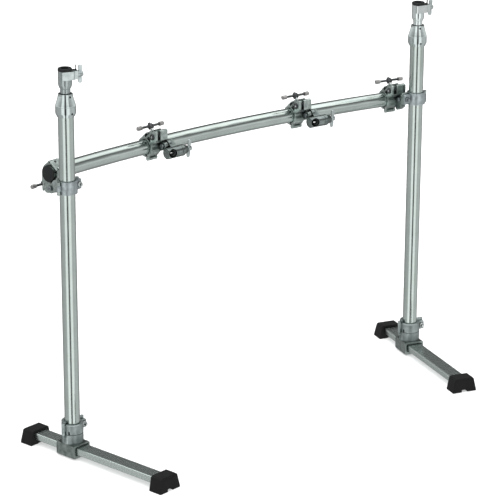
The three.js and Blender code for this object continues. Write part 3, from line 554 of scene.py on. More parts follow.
def clamp_jaw(flat=False):
    """Hinged half; the flat kind has a flat with a ridge behind it instead of a round back."""
    back = [*arc(25.6, 62, -12, 28), (27.4, -9.5, 1.2), (27.4, -14, 1.2), (25, -16.9, 0.9), (-4.7, -25.9, 1.2)] if flat else arc(25.6, 62, -98, 56)
    outline = soft([
        bp(10.2, 31), bp(10.2, -7.5), *arc(17.2, BOLT_ANGLE + 36, BOLT_ANGLE, 14, PIN), (*bp(17.2, 9), 1.0), (*bp(19.2, 10), 1.0), (*bp(20.5, 12), 1.0), (*bp(20.5, 21), 2.5),
        (6.5, 28.2, 3), (11, 23.6, 2), *back, (-3.2, -18.5),
    ], 0.8)
    s = yz(outline, -W, W)
    s = join(s,
        xr(-7.8, 7.8, HINGE, 5.4),
        yz([(HINGE[0] - 2, HINGE[1] - 4.6), (HINGE[0] + 4, HINGE[1] + 3.4), (-3.4, -19.8), (4, -25.4)], -7.8, 7.8),
    )
    tools = [
        xr(-40, 40, (0, 0), BORE_R, seg=96),
        xr(-20, -7.8, HINGE, 5.9), xr(7.8, 20, HINGE, 5.9), xr(-20, 20, HINGE, 2.9, seg=24),
        yz([bp(8, 4.7), bp(8, -30), bp(24, -30), bp(24, 4.7)], BOLT_X - 4.5, BOLT_X + 4.5),
    ]
    for t in (4, 8, 12, 16, 20, 26):
        y = HINGE[0] - HINGE[0] * math.cos(rad(t)) + HINGE[1] * math.sin(rad(t))
        z = HINGE[1] - HINGE[1] * math.cos(rad(t)) - HINGE[0] * math.sin(rad(t))
        tools.append(xr(-40, 40, (y, z), TUBE_R + 0.5, seg=96))
    # pocket in the lug's left-hand face
    tools.append(yz(soft([bp(12.3, 25.2), bp(12.3, 1.5), bp(15.2, 1.5), bp(15.4, 9.4), bp(17.6, 12.6), bp(18.4, 14), bp(18.4, 20.8)], 1.4), -W - 2, -W + 4.6))
    if flat:
        tools += [rod((0, 20.9, -20.7), (0, 19.5, -16.1), 3.2, seg=40),
                  xr(-W - 1, -W + 1.6, (22.6, -13.4), 2, seg=28), xr(W - 1.6, W + 1, (22.6, -13.4), 2, seg=28)]
    return refine(cut(s, *tools), 0.6, 28, 2)


def flat_screws():
    """Slotted screw sunk in the flat of the left end jaw, and the round ends of the ridge's pin."""
    n = Vector((0, 1.4, -4.6)).normalized()
    o = Vector((0, 19.5, -16.1)) + n * 0.4
    head = lathe([(0, 0), (3.1, 0), (3.1, 2.3), (2.7, 2.8), (0, 2.8)], 36, o, o + n)
    slot = moved(block(-4, 4, -0.5, 0.5, -0.9, 0.9), Matrix.Translation(o + n * 2.8) @ n.to_track_quat("Z", "Y").to_matrix().to_4x4())
    ends = [lathe([(0, 0), (1.9, 0), (1.9, 1.0), (1.5, 1.4), (0, 1.4)], 28, (x, 22.6, -13.4), (x + d, 22.6, -13.4)) for x, d in ((-W + 1.7, -1), (W - 1.7, 1))]
    return refine(cut(head, slot), 0.1, 40, 1), refine(join(*ends), 0.0)


def barrel_nut():
    """Dark cupped head and round body, and the bright slotted core in the cup."""
    a, o = (-16.2, *PIN), (-17.2, *PIN)
    s = join(xr(-15.4, 8.6, PIN, 6, seg=56), lathe([(0, 0.4), (3.6, 0.4), (4.6, 1.9), (6.0, 1.9), (7.0, 1.5), (7.6, 0.7), (7.6, -1.0), (0, -1.0)], 56, a, o))
    core = lathe([(0, 0.1), (2.9, 0.1), (2.9, 1.3), (2.4, 1.8), (0, 1.8)], 40, a, o)
    slot = block(-19.5, -17.3, PIN[0] - 0.6, PIN[0] + 0.6, PIN[1] - 9, PIN[1] + 9)
    return refine(s, 0.25, 30, 2), refine(cut(core, slot), 0.12, 40, 1)


def t_bolt():
    """Shaft and tip, dark hub, thin dark rod, knurled ends."""
    def at(a):
        return (BOLT_X, *bp(a, 0))

    def rx(x):
        return (BOLT_X + x, *bp(30, 0))

    shaft = refine(rod(at(6.6), at(23), 4.0, seg=40), 0.5, 30, 2)
    o, d = Vector(at(0)), Vector(at(1)) - Vector(at(0))
    prof = [(0, 22.6), (6.0, 22.6), (7.2, 23.4), (7.5, 24.6), (7.5, 26.0), (6.9, 26.5), (6.9, 27.0), (7.45, 27.5), (7.35, 33.0), (6.7, 34.4), (5.0, 35.0), (4.0, 35.2), (3.8, 37.4), (3.1, 38.6), (0, 38.6)]
    hub = refine(lathe(prof, 64, o, o + d), 0.2, 35, 2)
    bar = refine(rod(rx(-31), rx(31), 3.1, seg=32), 0.0)
    ends = []
    for s in (-1, 1):
        core = rod(rx(s * (T_ROD_HALF - 13.0)), rx(s * (T_ROD_HALF - 1.0)), 5.5, 5.5, 44, 0.36)
        lip = lathe([(0, 0), (5.1, 0), (5.1, 0.5), (4.7, 1.0), (0, 1.0)], 44, rx(s * (T_ROD_HALF - 1.0)), rx(s * T_ROD_HALF))
        root = lathe([(0, 0), (5.1, 0), (5.1, 0.4), (4.4, 1.0), (0, 1.0)], 44, rx(s * (T_ROD_HALF - 13.0)), rx(s * (T_ROD_HALF - 14)))
        ends.append(join(core, lip, root))
    knobs = [refine(e, 0.0) for e in ends]
    return shaft, hub, bar, knobs


def coupling_bolt(boss, x0, x1, head):
    if head < 0:
        s = join(xr(x0 - 0.5, x1, boss, 4, seg=40), lathe([(0, 0.3), (6.2, 0.3), (6.2, 3.6), (5.6, 4.6), (4.9, 5.0), (0, 5.0)], 56, (x0, *boss), (x0 - 1, *boss)))
        s = cut(s, block(x0 - 6, x0 - 3.6, boss[0] - 0.9, boss[0] + 0.9, boss[1] - 8, boss[1] + 8))
    else:
        s = join(xr(x0, x1 + 0.5, boss, 4, seg=40), lathe([(0, 0.3), (6.2, 0.3), (6.2, 3.6), (5.6, 4.6), (4.9, 5.0), (0, 5.0)], 56, (x1, *boss), (x1 + 1, *boss)))
        s = cut(s, block(x1 + 3.6, x1 + 6, boss[0] - 0.9, boss[0] + 0.9, boss[1] - 8, boss[1] + 8))
    return refine(s, 0.25, 30, 2)


# --------------------------------------- clamp rings that open as doors
def ring_back(r, z0, z1, hx, knuckles, ear_z):
    s = xy([(r, 0.3), *arc(r, 2, 178, 60), (-r, 0.3)], z0, z1)
    parts = [yz(soft([(0.3, ear_z[0]), (8.6, ear_z[0], 3.5), (8.6, ear_z[1], 3.5), (0.3, ear_z[1])], 0.01), EAR[0], EAR[1])]
    for k0, k1 in knuckles:
        parts += [rod((hx, 0, k0), (hx, 0, k1), 4.4), block(hx + 0.5, -r + 3.5, 0.3, 4.4, k0, k1)]
    return join(s, *parts)


def ring_door(r, z0, z1, hx, knuckle, ear_z):
    s = xy([(-r, -0.3), *arc(r, 182, 358, 60), (r, -0.3)], z0, z1)
    return join(s,
        yz(soft([(-0.3, ear_z[0]), (-0.3, ear_z[1]), (-8.6, ear_z[1], 3.5), (-8.6, ear_z[0], 3.5)], 0.01), EAR[0], EAR[1]),
        rod((hx, 0, knuckle[0]), (hx, 0, knuckle[1]), 4.4),
        block(hx + 0.5, -r + 3.5, -4.4, -0.3, knuckle[0], knuckle[1]),
    )


def door_cuts(z0, z1, hx, clear, bolt_z, hole, face):
    t = [rod((0, 0, z0 - 30), (0, 0, z1 + 30), BORE_R, seg=96), rod((KEY_X, -20, bolt_z), (KEY_X, 20, bolt_z), hole, seg=32)]
    if face:
        t.append(rod((KEY_X, -8.0, bolt_z), (KEY_X, -30, bolt_z), face, seg=48))
    for k0, k1 in clear:
        t.append(rod((hx, 0, k0), (hx, 0, k1), 4.9))
    return t


def key_bolt(bolt_z, head_r):
    h = head_r
    o, d = (KEY_X, 0, bolt_z), (KEY_X, -1, bolt_z)
    s = join(
        lathe([(0, -7), (2.6, -7), (3.1, -6.4), (3.1, 8.9), (h - 0.3, 8.9), (h, 9.2), (h, 10.9), (h - 0.5, 11.4), (h - 1.2, 11.6), (h - 2.4, 12.6), (0, 12.6)], 56, o, d),
        xz(soft([(KEY_X - 2.8, bolt_z - 2.8), (KEY_X + 2.8, bolt_z - 2.8), (KEY_X + 2.8, bolt_z + 2.8), (KEY_X - 2.8, bolt_z + 2.8)], 0.5, 3), -18, -12.3),
    )
    return refine(s, 0.3, 34, 2)


# ---------------------------------------------------------- accessory holders
def holder():
    prof = [(0, 6), (12.2, 6), (14.3, 8.1), (14.3, 50), (0, 50)]
    s = join(
        lathe(prof, 80, (0, *HOLD), (1, *HOLD)),
        xr(24.3, 33, (-36, 4), 14, seg=72),
        yz(soft([(-30, 15, 2), (-36, 18, 4), (-56, 4.2, 2), (-66, 2, 3), (-57.5, -10), (-45, -16, 2), (-30, -8, 3)], 1), 24.3, 44),
    )
    c = (26, *HOLD)
    s = cut(s,
        ball(c, BALL_R + 1.2, 64),
        rod((10, HOLD[0] - 26, HOLD[1] + 3), c, 10.6, seg=64),
        rod((10, HOLD[0] - 26, HOLD[1] + 3), (17.4, HOLD[0] - 14, HOLD[1] + 1.6), 14, 10.6, seg=64),
        common(rod((26, HOLD[0] + 13.9, HOLD[1]), (26, HOLD[0] + 26, HOLD[1]), 8, seg=40), block(0, 60, -200, -40, -60, 60)),
        xr(36.8, 60, HOLD, 8.6),
        xr(14, 45, (-36, 4), 4.8),
        block(20.5, 45, -48, -41, -16, -14.3),
    )
    return refine(s, 0.6, 30, 2)


def holder_ball(az, el):
    d = Vector((-math.sin(az) * math.cos(el), -math.cos(az) * math.cos(el), math.sin(el)))
    c = Vector((26, *HOLD))
    s = cut(ball(c, BALL_R, 64),
        rod(c - d * 20, c + d * 20, BALL_HOLE_R, seg=48),
        rod(c + d * 10.2, c + d * 20, 14, seg=64), rod(c - d * 20, c - d * 10.2, 14, seg=64))
    return refine(s, 0.45, 34, 3)


def holder_cap():
    s = join(
        lathe([(0, 38.6), (8.2, 38.6), (8.2, 50.8), (13.2, 50.8), (14.6, 52.2), (14.6, 59.2), (13.9, 60.0), (13.4, 60.6), (9.4, 73.4), (8.6, 74), (0, 74)], 80, (0, *HOLD), (1, *HOLD)))
    tools = [xr(48, 90, HOLD, 4.7, seg=40), ball((26, *HOLD), BALL_R + 1.2, 64)]
    ribs = 18
    for k in range(ribs):                                    # ribs of the tapered jaw
        t = 2 * math.pi * (k + 0.5) / ribs
        c = Vector((0, math.cos(t), math.sin(t)))
        o = Vector((0, *HOLD))
        a = o + c * 15.4 + Vector((60.8, 0, 0))
        b = o + c * 11.0 + Vector((75.5, 0, 0))
        tools.append(rod(a, b, 1.35, 1.0, 10))
    return refine(cut(s, *tools), 0.3, 34, 2)


def wing(x0, x1, span_, thick, tilt, up=True):
    """Hub and two blades about the X axis."""
    d = x1 - x0
    straight = [(x0 + d * 0.18, -5), (x0 + d * 0.26, 5), (x0 + d * 0.10, span_ * 0.62), (x0 + d * 0.22, span_, 3.2), (x0 + d * 0.80, span_, 4.2),
                (x0 + d * 0.88, span_ * 0.62), (x0 + d * 0.78, 5), (x0 + d * 0.82, -5)]
    a = xz(soft(straight, 6, 8), -thick / 2, thick / 2)
    b = xz(soft([(x, -z, r[0] + 2.4 if r else 0) if r else (x, -z) for x, z, *r in straight][::-1], 6, 8), -thick / 2, thick / 2)
    hub = lathe([(0, x0), (6.9, x0), (7.3, x0 + 0.5), (7.3, x0 + d * 0.3), (6.8, x0 + d * 0.42), (5.6, x1 - 0.6), (5.0, x1), (0, x1)], 56, (0, 0, 0), (1, 0, 0))
    s = join(hub, a, b)
    return moved(s, Matrix.Rotation(rad(tilt), 4, "X"))


def holder_wing():
    s = join(wing(74.6, 88, 24, 4.2, 8), xr(53, 75, (0, 0), 4, seg=40))
    tip = refine(moved(lathe([(0, -2), (3.4, -2), (3.4, 0.9), (2.7, 1.5), (0, 1.5)], 32, (88, 0, 0), (89, 0, 0)), Matrix.Translation((0, *HOLD))), 0.2, 35, 1)
    return refine(moved(s, Matrix.Translation((0, *HOLD))), 0.9, 34, 3), tip


# ------------------------------------------------------------------- stands
def leg_tube():
    y0, y1 = -(LEG_FRONT + FOOT_IN), LEG_REAR + FOOT_IN
    w, z1, z0 = LEG_W / 2, LEG_TOP, LEG_TOP - LEG_H
    t = LEG_WALL
    outer = xz(soft([(-w, z0), (w, z0), (w, z1), (-w, z1)], 3.6, 8), y0, y1)
    inner = xz(soft([(-w + t, z0 + t), (w - t, z0 + t), (w - t, z1 - t), (-w + t, z1 - t)], 2.2, 8), y0 - 1, y1 + 1)
    return refine(cut(outer, inner), 0.25, 40, 1)


def foot(front):
    d = -1 if front else 1
    yi = d * (LEG_FRONT if front else LEG_REAR)
    yo = yi + d * FOOT_LEN
    w0, w1 = FOOT_BOT_W / 2, FOOT_TOP_W / 2
    face = soft([(-w0, 0), (-9, 0), (-8, 1.2), (8, 1.2), (9, 0), (w0, 0), (w0, 4, 2), (w1 + 1.6, FOOT_H - 3.6, 2), (w1 - 2.4, FOOT_H, 2), (-w1 + 2.4, FOOT_H, 2), (-w1 - 1.6, FOOT_H - 3.6, 2), (-w0, 4, 2)], 0)
    side = soft([(yi, 0), (yo + d * 1.5, 0), (yo + d * 1.5, 3, 2), (yo - d * 1.6, FOOT_H - 3, 2), (yo - d * 4.5, FOOT_H, 2), (yi + d * 1, FOOT_H), (yi, FOOT_H - 2)], 0)
    s = common(xz(face, min(yi, yo) - 5, max(yi, yo) + 5), yz(side, -60, 60))
    w = LEG_W / 2 + 0.3
    p0, p1 = sorted([yi - d * 2, yi + d * (FOOT_IN + 0.4)])
    q0, q1 = sorted([yo - d * 26, yo + d * 4])
    z0, z1 = LEG_TOP - LEG_H - 0.3, LEG_TOP + 0.3
    s = cut(s, xz(soft([(-w, z0), (w, z0), (w, z1), (-w, z1)], 3.2, 6), p0, p1), block(-8, 8, q0, q1, -1, 6.4))
    return refine(s, 1.1, 30, 3)


def base_casting():
    w0 = [(-26.5, -31, 4.5), (26.5, -31, 4.5), (26.5, 29, 4.5), (-26.5, 29, 4.5)]
    s = join(
        xy(soft(w0, 4.5, 6), 4, 36),
        common(rod((0, 0, 34), (0, 0, 38.5), 29.2, BASE_R, 96), block(-26.3, 26.3, -30.8, 28.8, 33, 40)),
        common(rod((0, 0, 34), (0, 0, 36.4), BASE_R, BASE_R, 96), block(-26.3, 26.3, -30.8, 28.8, 33, 40)),
        rod((0, 0, 36.2), (0, 0, 61), BASE_R, BASE_R, 96),
        # raised rims round the two openings for the leg
        xz(soft([(-27.3, 3.6), (27.3, 3.6), (27.3, 36.8), (-27.3, 36.8)], 4, 6), -31.6, -28.4),
        xz(soft([(-27.3, 3.6), (27.3, 3.6), (27.3, 36.8), (-27.3, 36.8)], 4, 6), 26.4, 29.6),
        ring_back(BASE_R, 60.5, 93, -31, [(60.5, 70), (87, 91.5)], (60.5, 93)),
        common(rod((-31, 0, 52), (-31, 0, 61), 2.6, 4.4), block(-40, 0, -10, 10, 50, 61)),
        block(-31, -24, -3.5, 4.4, 52, 61),
    )
    w = LEG_W / 2 + 0.3
    z0, z1 = LEG_TOP - LEG_H - 0.3, LEG_TOP + 0.3
    s = cut(s,
        xz(soft([(-w, z0), (w, z0), (w, z1), (-w, z1)], 3.2, 6), -60, 60),
        xz(soft([(-w - 2.2, z0 - 2.2), (w + 2.2, z0 - 2.2), (w + 2.2, z1 + 2.0), (-w - 2.2, z1 + 2.0)], 4, 6), -60, -29.2),
        xz(soft([(-w - 2.2, z0 - 2.2), (w + 2.2, z0 - 2.2), (w + 2.2, z1 + 2.0), (-w - 2.2, z1 + 2.0)], 4, 6), 27.2, 60),
        rod((0, 0, 38.7), (0, 0, 120), BORE_R, seg=96),
        rod((-31, 0, 70), (-31, 0, 87), 4.9),
        rod((KEY_X, -20, 74.2), (KEY_X, 20, 74.2), 4, seg=32),
        lathe([(BASE_R - 1.6, 93.2), (BASE_R + 0.8, 90.8), (BASE_R + 0.8, 93.2)], 96),
        cut(block(-60, 80, -60, -0.02, 61, 130), rod((-31, 0, 40), (-31, 0, 131), 4.45)),
    )
    s = join(s, rod((-31, 0, 61), (-31, 0, 91.5), 2.1, seg=24))
    return refine(s, 0.45, 30, 2)


def base_door():
    z0, z1 = 62.2, 87.0
    s = ring_door(BASE_R, z0, z1, -31, (70.4, 86.6), (63, 85.4))
    s = cut(s, *door_cuts(z0, z1, -31, [(60, 70.4), (86.6, 97)], 74.2, 3.7, 8.2), rod((-31, 0, 60), (-31, 0, 97), 2.6, seg=24),
        # notch low on the door's left
        moved(block(BASE_R - 4.5, BASE_R + 4, -2.2, 2.2, 60, 70.5), Matrix.Rotation(rad(-152), 4, "Z")),
        # wide chamfer round the top
        lathe([(BASE_R - 2.4, z1 + 0.2), (BASE_R + 0.5, z1 - 2.6), (BASE_R + 0.5, z1 + 0.2)], 96))
    return refine(s, 0.45, 30, 2)


SCREWS = tuple(tuple((z, t) for t in ts for z in (870.6, 910.2)) for ts in ((-87, 33), (-112, 8)))      # height and direction, left and right


def ferrule(i):
    a, b = FER_A, FER_B
    prof = [(BORE_R - 0.1, a), (20.4, a), (21.0, a + 0.4), (24.0, a + 7.0), (24.6, a + 8.6), (24.8, a + 10), (24.8, a + 24.6), (24.45, a + 25.0), (24.45, a + 25.5), (24.8, a + 25.9),
            (24.7, a + 27.2), (24.2, a + 29), (22.9, a + 33), (21.4, a + 38), (20.0, a + 42.4), (18.7, a + 47.2), (18.0, a + 50.2), (17.7, a + 52), (17.7, b - 0.7), (17.2, b),
            (13.6, b), (13.6, b - 3), (12.9, b - 3), (12.9, POST_TOP + 1.4), (BORE_R - 0.1, POST_TOP + 1.4)]
    s = lathe(prof, 120)
    tools = []
    for z, t in SCREWS[i]:
        c, r = (math.cos(rad(t)), math.sin(rad(t))), (24.8 if z < 890 else 17.8)
        tools.append(rod((c[0] * (r - 2.6), c[1] * (r - 2.6), z), (c[0] * 40, c[1] * 40, z), 2.7, seg=28))
    s = cut(s, *tools)
    return refine(s, 0.15, 50, 1)


def set_screws(i):
    made = []
    for z, t in SCREWS[i]:
        c, r = (math.cos(rad(t)), math.sin(rad(t))), (24.8 if z < 890 else 17.8)
        o, p = (c[0] * (r - 4.2), c[1] * (r - 4.2), z), (c[0] * 40, c[1] * 40, z)
        made.append(cut(lathe([(0, 0), (2.65, 0), (2.65, 2.4), (2.3, 2.7), (0, 2.7)], 28, o, p), rod(Vector(o) + (Vector(p) - Vector(o)).normalized() * 1.4, p, 1.25, seg=6)))
    return refine(join(*made), 0.0)


def rim_ring():
    """Black lining in the ferrule's mouth."""
    b = FER_B
    return refine(lathe([(12.45, b - 6), (13.5, b - 6), (13.5, b + 0.5), (13.0, b + 1.1), (12.45, b + 1.1)], 96), 0.0)


def socket(az):
    u = Vector((math.cos(rad(az)), math.sin(rad(az)), 0))
    s = lathe([
        (9.9, 892), (11.9, 892), (12.25, 892.4), (12.25, 928.2), (12.6, 928.8), (13.4, 929.6), (14.6, 932.0), (15.8, 935.0), (16.4, 937), (16.6, 938.9), (16.6, SOCKET_TOP - 0.5), (16.1, SOCKET_TOP),
        (13.3, SOCKET_TOP), (13.3, 941), (9.9, 939)], 120)
    p = lambda r: (u.x * r, u.y * r, 960.3)
    # flat-faced block for the wing screw
    face = soft([(-13, 0), (-13, -16.4, 0.8), (-11.8, -17.6, 0.8), (16.5, -17.6, 1.8), (18.5, -15.6, 1.2), (19, -13.6, 0.6), (28.6, -13.6, 0.6), (29.4, -12.8, 0.6), (29.4, 8.2, 0.6), (28.6, 9, 0.6), (-8.5, 9)], 0.3, 4)
    boss = cut(moved(xy(face, 950.5, SOCKET_TOP), Matrix.Rotation(rad(az), 4, "Z")), rod((0, 0, 900), (0, 0, 1000), 13.3, seg=120))
    s = join(s, boss)
    s = cut(s, rod(p(8), p(40), 4.7, seg=40))
    return refine(s, 0.3, 34, 2)


def bushing(az):
    t = SOCKET_TOP
    s = lathe([(9.75, 942), (12.8, 942), (12.8, t + 0.3), (16.6, t + 0.3), (17.0, t + 0.9), (17.0, t + 4.6), (16.4, t + 6.0), (15.2, t + 6.9), (13.8, t + 7.0), (11.0, t + 7.0), (10.1, t + 6.4), (9.75, t + 5.2)], 96)
    m = Matrix.Rotation(rad(az), 4, "Z")
    s = cut(s, moved(rod((4, 0, 960.3), (20, 0, 960.3), 4.6, seg=32), m))
    tongue = xz([(15, t + 0.3), (27.6, t + 0.3), (27.6, t + 12), (26.2, t + 12), (26.2, t + 1.7), (15, t + 1.7)], -2.2, 2.2)
    s = join(s, moved(tongue, m))
    return refine(s, 0.25, 34, 2)


def socket_wing(az):
    s = join(wing(30.2, 44, 22.5, 4.2, 6), rod((14, 0, 0), (31, 0, 0), 4, seg=40))
    m = Matrix.Rotation(rad(az), 4, "Z") @ Matrix.Translation((0, 0, 960.3))
    return refine(moved(s, m), 0.9, 34, 3)


# ----------------------------------------------------------------- end arms
def knuckles(z0):
    return {"fixed": [(z0, z0 + 9), (z0 + 23, z0 + 32)], "door": (z0 + 9.4, z0 + 22.6)}


def toothed_disc(x0, x1, c, r, teeth, face):
    """Coupling disc; its edge and the face at x = face carry radial teeth."""
    s = xr(x0, x1, c, r, seg=96)
    tools = []
    d = 1.3 if face == x0 else -1.3
    for k in range(teeth):
        t = 2 * math.pi * k / teeth
        u, n = Vector((math.cos(t), math.sin(t))), Vector((-math.sin(t), math.cos(t)))
        o = Vector(c)
        w = 0.42 * 2 * math.pi * r / teeth / 2
        pts = [o + u * (r * 0.62) - n * w * 0.5, o + u * (r + 1) - n * w, o + u * (r + 1) + n * w, o + u * (r * 0.62) + n * w * 0.5]
        a, b = sorted([face - math.copysign(1, d), face + d])
        tools.append(yz([(p.x, p.y) for p in pts], a, b))
    return cut(s, *tools)


def end_arm(i):
    """Arm, door and key bolt of one side's post ring; the right ring is the left one's mirror image."""
    hand = Matrix.Identity(4) if i == 0 else Matrix.Scale(-1, 4, (1, 0, 0))
    x, y = bar_point(END_X[i])
    turn = bar_turn(END_X[i])
    dx, dy = (-HALF if i == 0 else HALF) - x, -y
    px = dx * math.cos(turn) + dy * math.sin(turn)
    py = -dx * math.sin(turn) + dy * math.cos(turn)
    z0, z1 = RING_Z[i] - RING_H / 2, RING_Z[i] + RING_H / 2
    kn = knuckles(z0)
    if i == 0:
        boss = (-34.2, 7.9)
        roll = rad(LEFT_ROLL)
        by = boss[0] * math.cos(roll) + boss[1] * math.sin(roll)
        bz = boss[0] * math.sin(roll) - boss[1] * math.cos(roll)
        arm = join(
            toothed_disc(-25.7, -15.3, (by, bz), 12.6, 22, -15.3),
            yz(soft([(by + 3, bz - 12.2), (-30, -40, 4), (-52, -29, 3), (-54, -10), (-54, 1.5), (-46, 1.5, 3), (-30, -8, 5), (-23, -10.5, 3), (-15, -20.5, 3), (by + 4, bz + 11.8)], 1), -25.7, -16.8),
            yz([(-44, -29.5), (-54, -29.5), (-54, 1.5), (-44, 1.5)], -38, -15.3),
        )
        arm = cut(arm, xr(-40, -10, (by, bz), 4.8, seg=40))
    else:
        boss = (-36.0, 6.0)
        arm = join(
            toothed_disc(28.3, 38.3, boss, 14.6, 26, 28.3),
            yz(soft([(-30, -6, 2), (-30, 18, 3), (-40, 21, 4), (-60, 21), (-60, 0.6), (-52, -5, 2), (-40, -7, 3)], 1), 29.8, 42),
        )
        arm = cut(arm, xr(20, 37.6, boss, 4.3, seg=40))
    back = ring_back(RING_R, z0, z1, RING_HX, kn["fixed"], (z0, z1))
    s = join(moved(arm, hand @ Matrix.Translation((-px, -py, 0))), back)
    s = cut(s, *door_cuts(z0, z1, RING_HX, [(kn["door"][0] - 0.4, kn["door"][1] + 0.4)], RING_Z[i], 4, 0),
        cut(block(-60, 80, -60, -0.02, z0 - 40, z1 + 40), rod((RING_HX, 0, z0 - 41), (RING_HX, 0, z1 + 41), 4.45)))
    s = join(s, rod((RING_HX, 0, z0), (RING_HX, 0, z1), 2.1, seg=24))
    door = ring_door(RING_R, z0, z1, RING_HX, kn["door"], (z0 + 3, z1 - 3))
    door = cut(door, *door_cuts(z0, z1, RING_HX, [(z0 - 1, z0 + 9.4), (z1 - 9.4, z1 + 1)], RING_Z[i], 3.7, 7.4), rod((RING_HX, 0, z0 - 1), (RING_HX, 0, z1 + 1), 2.6, seg=24))
    place = on_bar(END_X[i]) @ Matrix.Translation((px, py, 0))
    return refine(moved(s, hand), 0.6, 30, 2), refine(moved(door, hand), 0.6, 30, 2), moved(key_bolt(RING_Z[i], 6.6), Matrix.Translation((-2 * KEY_X * i, 0, 0))), place


# ---------------------------------------------------------------- assembling
put("bar_tube_skin", bar_tube(), TUBE_X, "bar", "bar_tube")
for side, s in (("left", -1), ("right", 1)):
    bx, by_ = bar_point(s * BAR_END)
    put(f"bar_cap_{side}", bar_cap(s), PLASTIC, "bar", f"bar_end_cap_{side}",
        Matrix.Translation((bx, by_, BAR_Z)) @ Matrix.Rotation(bar_turn(s * BAR_END), 4, "Z"))

(nut, nut_core), jaw, jaw_flat = barrel_nut(), clamp_jaw(), clamp_jaw(True)
flat_head, flat_ends = flat_screws()
shaft, hub, handle, knobs = t_bolt()
hold, cap_, (wing_, wing_tip) = holder(), holder_cap(), holder_wing()


def clamp_set(prefix, at, body, boss, bolt, jaw_body, nut_body, bolt_body, body_mat=CAST):
    put(f"{prefix}_body_form", body, body_mat, bolt[1], f"{prefix}_body", at)
    put(f"{prefix}_jaw_form", jaw_flat if prefix == "end_clamp_left" else jaw, CAST, jaw_body, f"{prefix}_jaw", at)
    if prefix == "end_clamp_left":
        put(f"{prefix}_jaw_screw", flat_head, DARK, jaw_body, f"{prefix}_jaw", at)
        put(f"{prefix}_jaw_pin", flat_ends, DARK, jaw_body, f"{prefix}_jaw", at)
    put(f"{prefix}_nut_form", nut, DARK, nut_body, f"{prefix}_barrel_nut", at)
    put(f"{prefix}_nut_core", nut_core, BOLT, nut_body, f"{prefix}_barrel_nut", at)
    n = f"{prefix}_t_bolt"
    put(f"{n}_shaft", shaft, BOLT, bolt_body, n, at)
    put(f"{n}_hub", hub, DARK, bolt_body, n, at)
    put(f"{n}_handle", handle, DARK, bolt_body, n, at)
    for k, e in enumerate(knobs):
        put(f"{n}_knob_{k}", e, KNURL, bolt_body, n, at)
    put(f"{prefix}_coupling_form", bolt[0], DULL, bolt[1], f"{prefix}_coupling_bolt", at)


acc_body = clamp_body(24, ACC_BOSS, 11, 24, ribs=20)
acc_bolt = coupling_bolt(ACC_BOSS[:2], 13, 32, -1)
for i, side in enumerate(("left", "right")):
    at = on_bar(ACC_X[i])
    turn = bar_turn(ACC_X[i])
    clamp_set(f"accessory_clamp_{side}", at, acc_body, ACC_BOSS, (acc_bolt, f"acc_{side}_clamp"), f"acc_{side}_jaw", f"acc_{side}_nut", f"acc_{side}_t_bolt")
    put(f"holder_{side}_form", hold, CAST_ARM, f"acc_{side}_holder", f"holder_{side}_body", at)
    put(f"holder_{side}_ball_form", holder_ball(rad(39.5) + turn, rad(15.8)), PLASTIC, f"acc_{side}_ball", f"holder_{side}_ball", at)
    put(f"holder_{side}_cap_form", cap_, CAST_ARM, f"acc_{side}_holder", f"holder_{side}_cap", at)
    put(f"holder_{side}_wing_form", wing_, ZINC, f"acc_{side}_wing", f"holder_{side}_wing_bolt", at)
    put(f"holder_{side}_wing_end", wing_tip, DARK, f"acc_{side}_wing", f"holder_{side}_wing_bolt", at)

end_bodies = (
    clamp_body(15, (-34.2, 7.9, 5), 13, 15, ribs=22, rounded=True),
    clamp_body(28, (-36, 6, 13), 15, 28, skirt=[(-20, -25.5), (-28, -25.5), (-43, -15), (-46, 0), (-46, 12), (-43, 21), (-43, 30), (-22, 30), (-20, 12)], ribs=26),
)
end_bolts = (coupling_bolt((-34.2, 7.9), 6, 26, 1), coupling_bolt((-36, 6), 13, 37, -1))
for i, side in enumerate(("left", "right")):
    at = on_bar(END_X[i])
    if i == 0:
        at = at @ Matrix.Rotation(rad(LEFT_ROLL), 4, "X") @ Matrix.Rotation(math.pi, 4, "Y")
    clamp_set(f"end_clamp_{side}", at, end_bodies[i], None, (end_bolts[i], "bar"), f"end_{side}_jaw", f"end_{side}_nut", f"end_{side}_t_bolt")
    arm, door, key, ring_at = end_arm(i)
    put(f"post_ring_{side}_arm_form", arm, CAST, "bar", f"post_ring_{side}_arm", ring_at)
    put(f"post_ring_{side}_door_form", door, CAST_RING[i], f"{side}_ring_door", f"post_ring_{side}_door", ring_at)
    put(f"post_ring_{side}_key_form", key, (BOLT, DULL)[i], f"{side}_ring_key", f"post_ring_{side}_key_bolt", ring_at)

